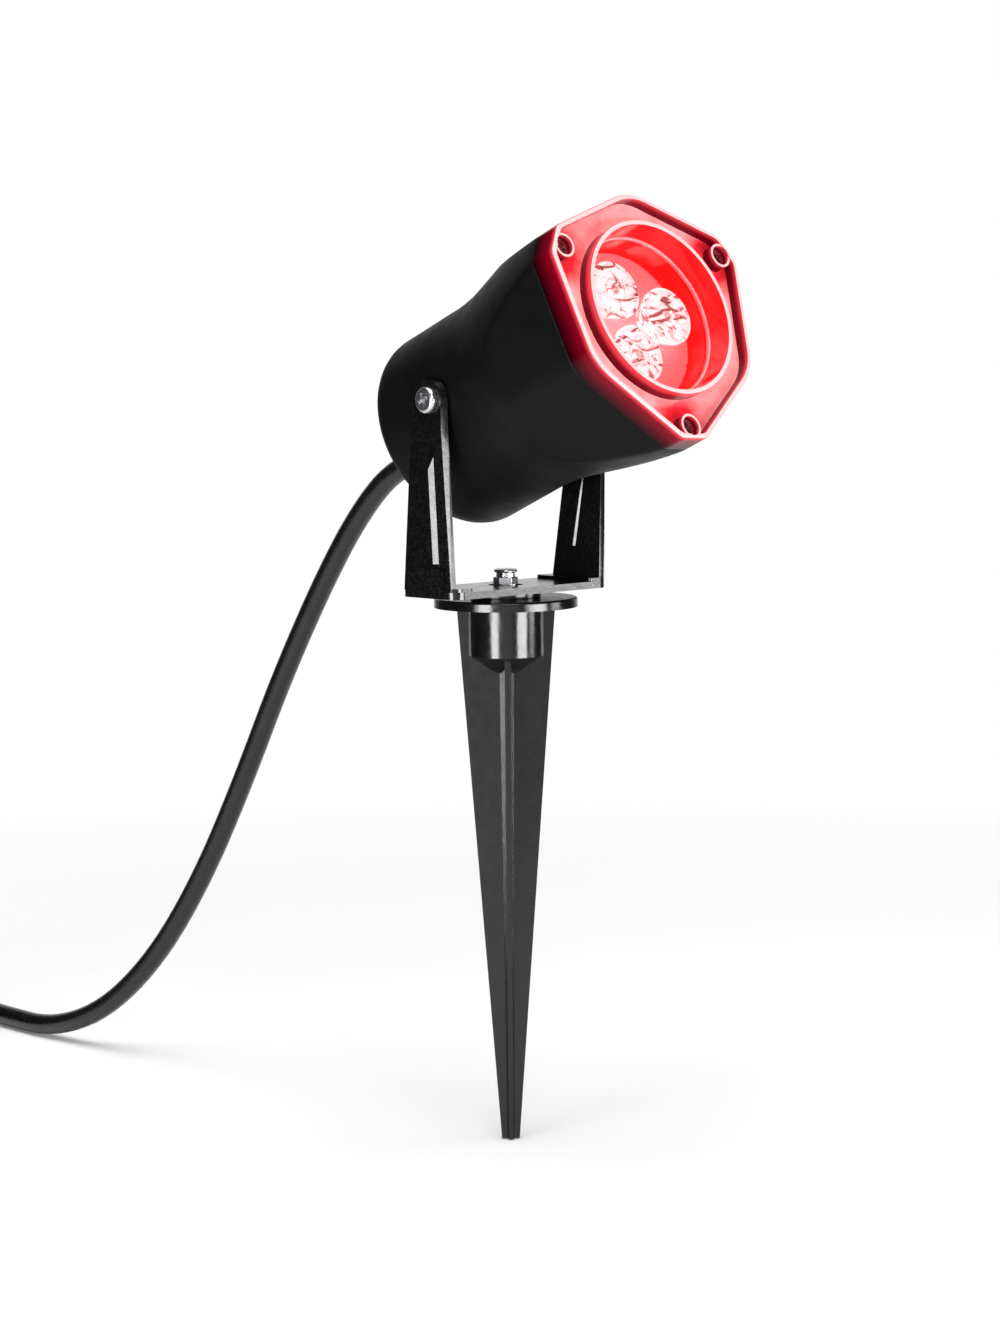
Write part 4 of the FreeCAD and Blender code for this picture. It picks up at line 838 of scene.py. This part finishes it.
# ------------------------------------------------------------------ floor and light
bm = bmesh.new()
bmesh.ops.create_circle(bm, cap_ends=True, radius=6.0, segments=64)
fm = bpy.data.meshes.new("floor")
bm.to_mesh(fm)
bm.free()
floor = bpy.data.objects.new("floor", fm)
coll.objects.link(floor)
floor.location = (0, 0, -0.0003)
m = Mat("floor_pale")
m.put(Base_Color=(0.93, 0.93, 0.93, 1), Roughness=0.9, Specular_IOR_Level=0.0, Emission_Color=(1, 1, 1, 1), Emission_Strength=0.12)
clear = m.n("BsdfTransparent")
mix = m.n("MixShader")
grad = m.n("VectorMath", operation="LENGTH")
m.link(m.co.outputs["Object"], grad.inputs[0])
m.link(m.ramp(m.math("MULTIPLY", grad.outputs["Value"], 0.5), [(0.16, 0.0), (0.40, 1.0)]), mix.inputs[0])
m.link(m.b.outputs[0], mix.inputs[1])
m.link(clear.outputs[0], mix.inputs[2])
m.link(mix.outputs[0], m.out.inputs[0])
fm.materials.append(m.m)


def area(name, size, energy, at, look, colour=(1, 1, 1)):
    ld = bpy.data.lights.new(name, "AREA")
    ld.shape = "RECTANGLE"
    ld.size, ld.size_y = size
    ld.energy = energy
    ld.color = colour
    lo = bpy.data.objects.new(name, ld)
    coll.objects.link(lo)
    d = Vector(look) - Vector(at)
    lo.location = at
    lo.rotation_mode = "QUATERNION"
    lo.rotation_quaternion = d.to_track_quat("-Z", "Y")
    return lo


def around(azimuth, elevation, dist, z=0.15):
    a, e = math.radians(azimuth), math.radians(elevation)
    return Vector((math.sin(a) * math.cos(e), -math.cos(a) * math.cos(e), math.sin(e))) * dist + Vector((0, 0, z))


C = (0, 0, 0.16)
def upright(name, size, energy, azimuth, dist, z):
    """A soft box standing square to the object's axis at a height."""
    return area(name, size, energy, around(azimuth, 0, dist, z), (0, 0, z))


upright("left_strip", (0.52, 0.58), 19, -78, 1.3, -0.02)
upright("right_strip", (0.78, 0.38), 18, 7.6, 1.4, 0.02)
upright("edge_box", (0.42, 0.36), 5.5, 43, 1.4, 0.228)
area("top_box", (1.6, 1.6), 34, around(-45, 80, 1.7), C)
area("front_fill", (0.9, 0.9), 7, around(-45 + 12, 30, 1.9), C)

world = bpy.data.worlds.new("studio")
scene.world = world
world.use_nodes = True
wt = world.node_tree
wt.nodes.clear()
wo = wt.nodes.new("ShaderNodeOutputWorld")
b0 = wt.nodes.new("ShaderNodeBackground")
b1 = wt.nodes.new("ShaderNodeBackground")
lp = wt.nodes.new("ShaderNodeLightPath")
mw = wt.nodes.new("ShaderNodeMixShader")
b0.inputs[1].default_value = 1.0
b1.inputs[0].default_value = (1, 1, 1, 1)
b1.inputs[1].default_value = 1.0
# reflections see a dark room with a pale wall behind the object
wc = wt.nodes.new("ShaderNodeTexCoord")
wd = wt.nodes.new("ShaderNodeVectorMath")
wd.operation = "DOT_PRODUCT"
wd.inputs[1].default_value = (math.sin(math.radians(136.6)), -math.cos(math.radians(136.6)), 0.0)
wt.links.new(wc.outputs["Generated"], wd.inputs[0])
wr = wt.nodes.new("ShaderNodeValToRGB")
wr.color_ramp.elements[0].position, wr.color_ramp.elements[0].color = 0.72, (0.045, 0.045, 0.045, 1)
wr.color_ramp.elements[1].position, wr.color_ramp.elements[1].color = 0.94, (0.9, 0.9, 0.9, 1)
wt.links.new(wd.outputs["Value"], wr.inputs[0])
wf = wt.nodes.new("ShaderNodeVectorMath")
wf.operation = "DOT_PRODUCT"
wf.inputs[1].default_value = (-math.sin(math.radians(43.4)), -math.cos(math.radians(43.4)), -0.08)
wt.links.new(wc.outputs["Generated"], wf.inputs[0])
wq = wt.nodes.new("ShaderNodeValToRGB")
wq.color_ramp.elements[0].position, wq.color_ramp.elements[0].color = 0.90, (0.0, 0.0, 0.0, 1)
wq.color_ramp.elements[1].position, wq.color_ramp.elements[1].color = 0.965, (0.9, 0.9, 0.9, 1)
wt.links.new(wf.outputs["Value"], wq.inputs[0])
ws = wt.nodes.new("ShaderNodeVectorMath")
ws.operation = "ADD"
wt.links.new(wr.outputs[0], ws.inputs[0])
wt.links.new(wq.outputs[0], ws.inputs[1])
wt.links.new(ws.outputs[0], b0.inputs[0])
wt.links.new(lp.outputs["Is Camera Ray"], mw.inputs[0])
wt.links.new(b0.outputs[0], mw.inputs[1])
wt.links.new(b1.outputs[0], mw.inputs[2])
wt.links.new(mw.outputs[0], wo.inputs[0])
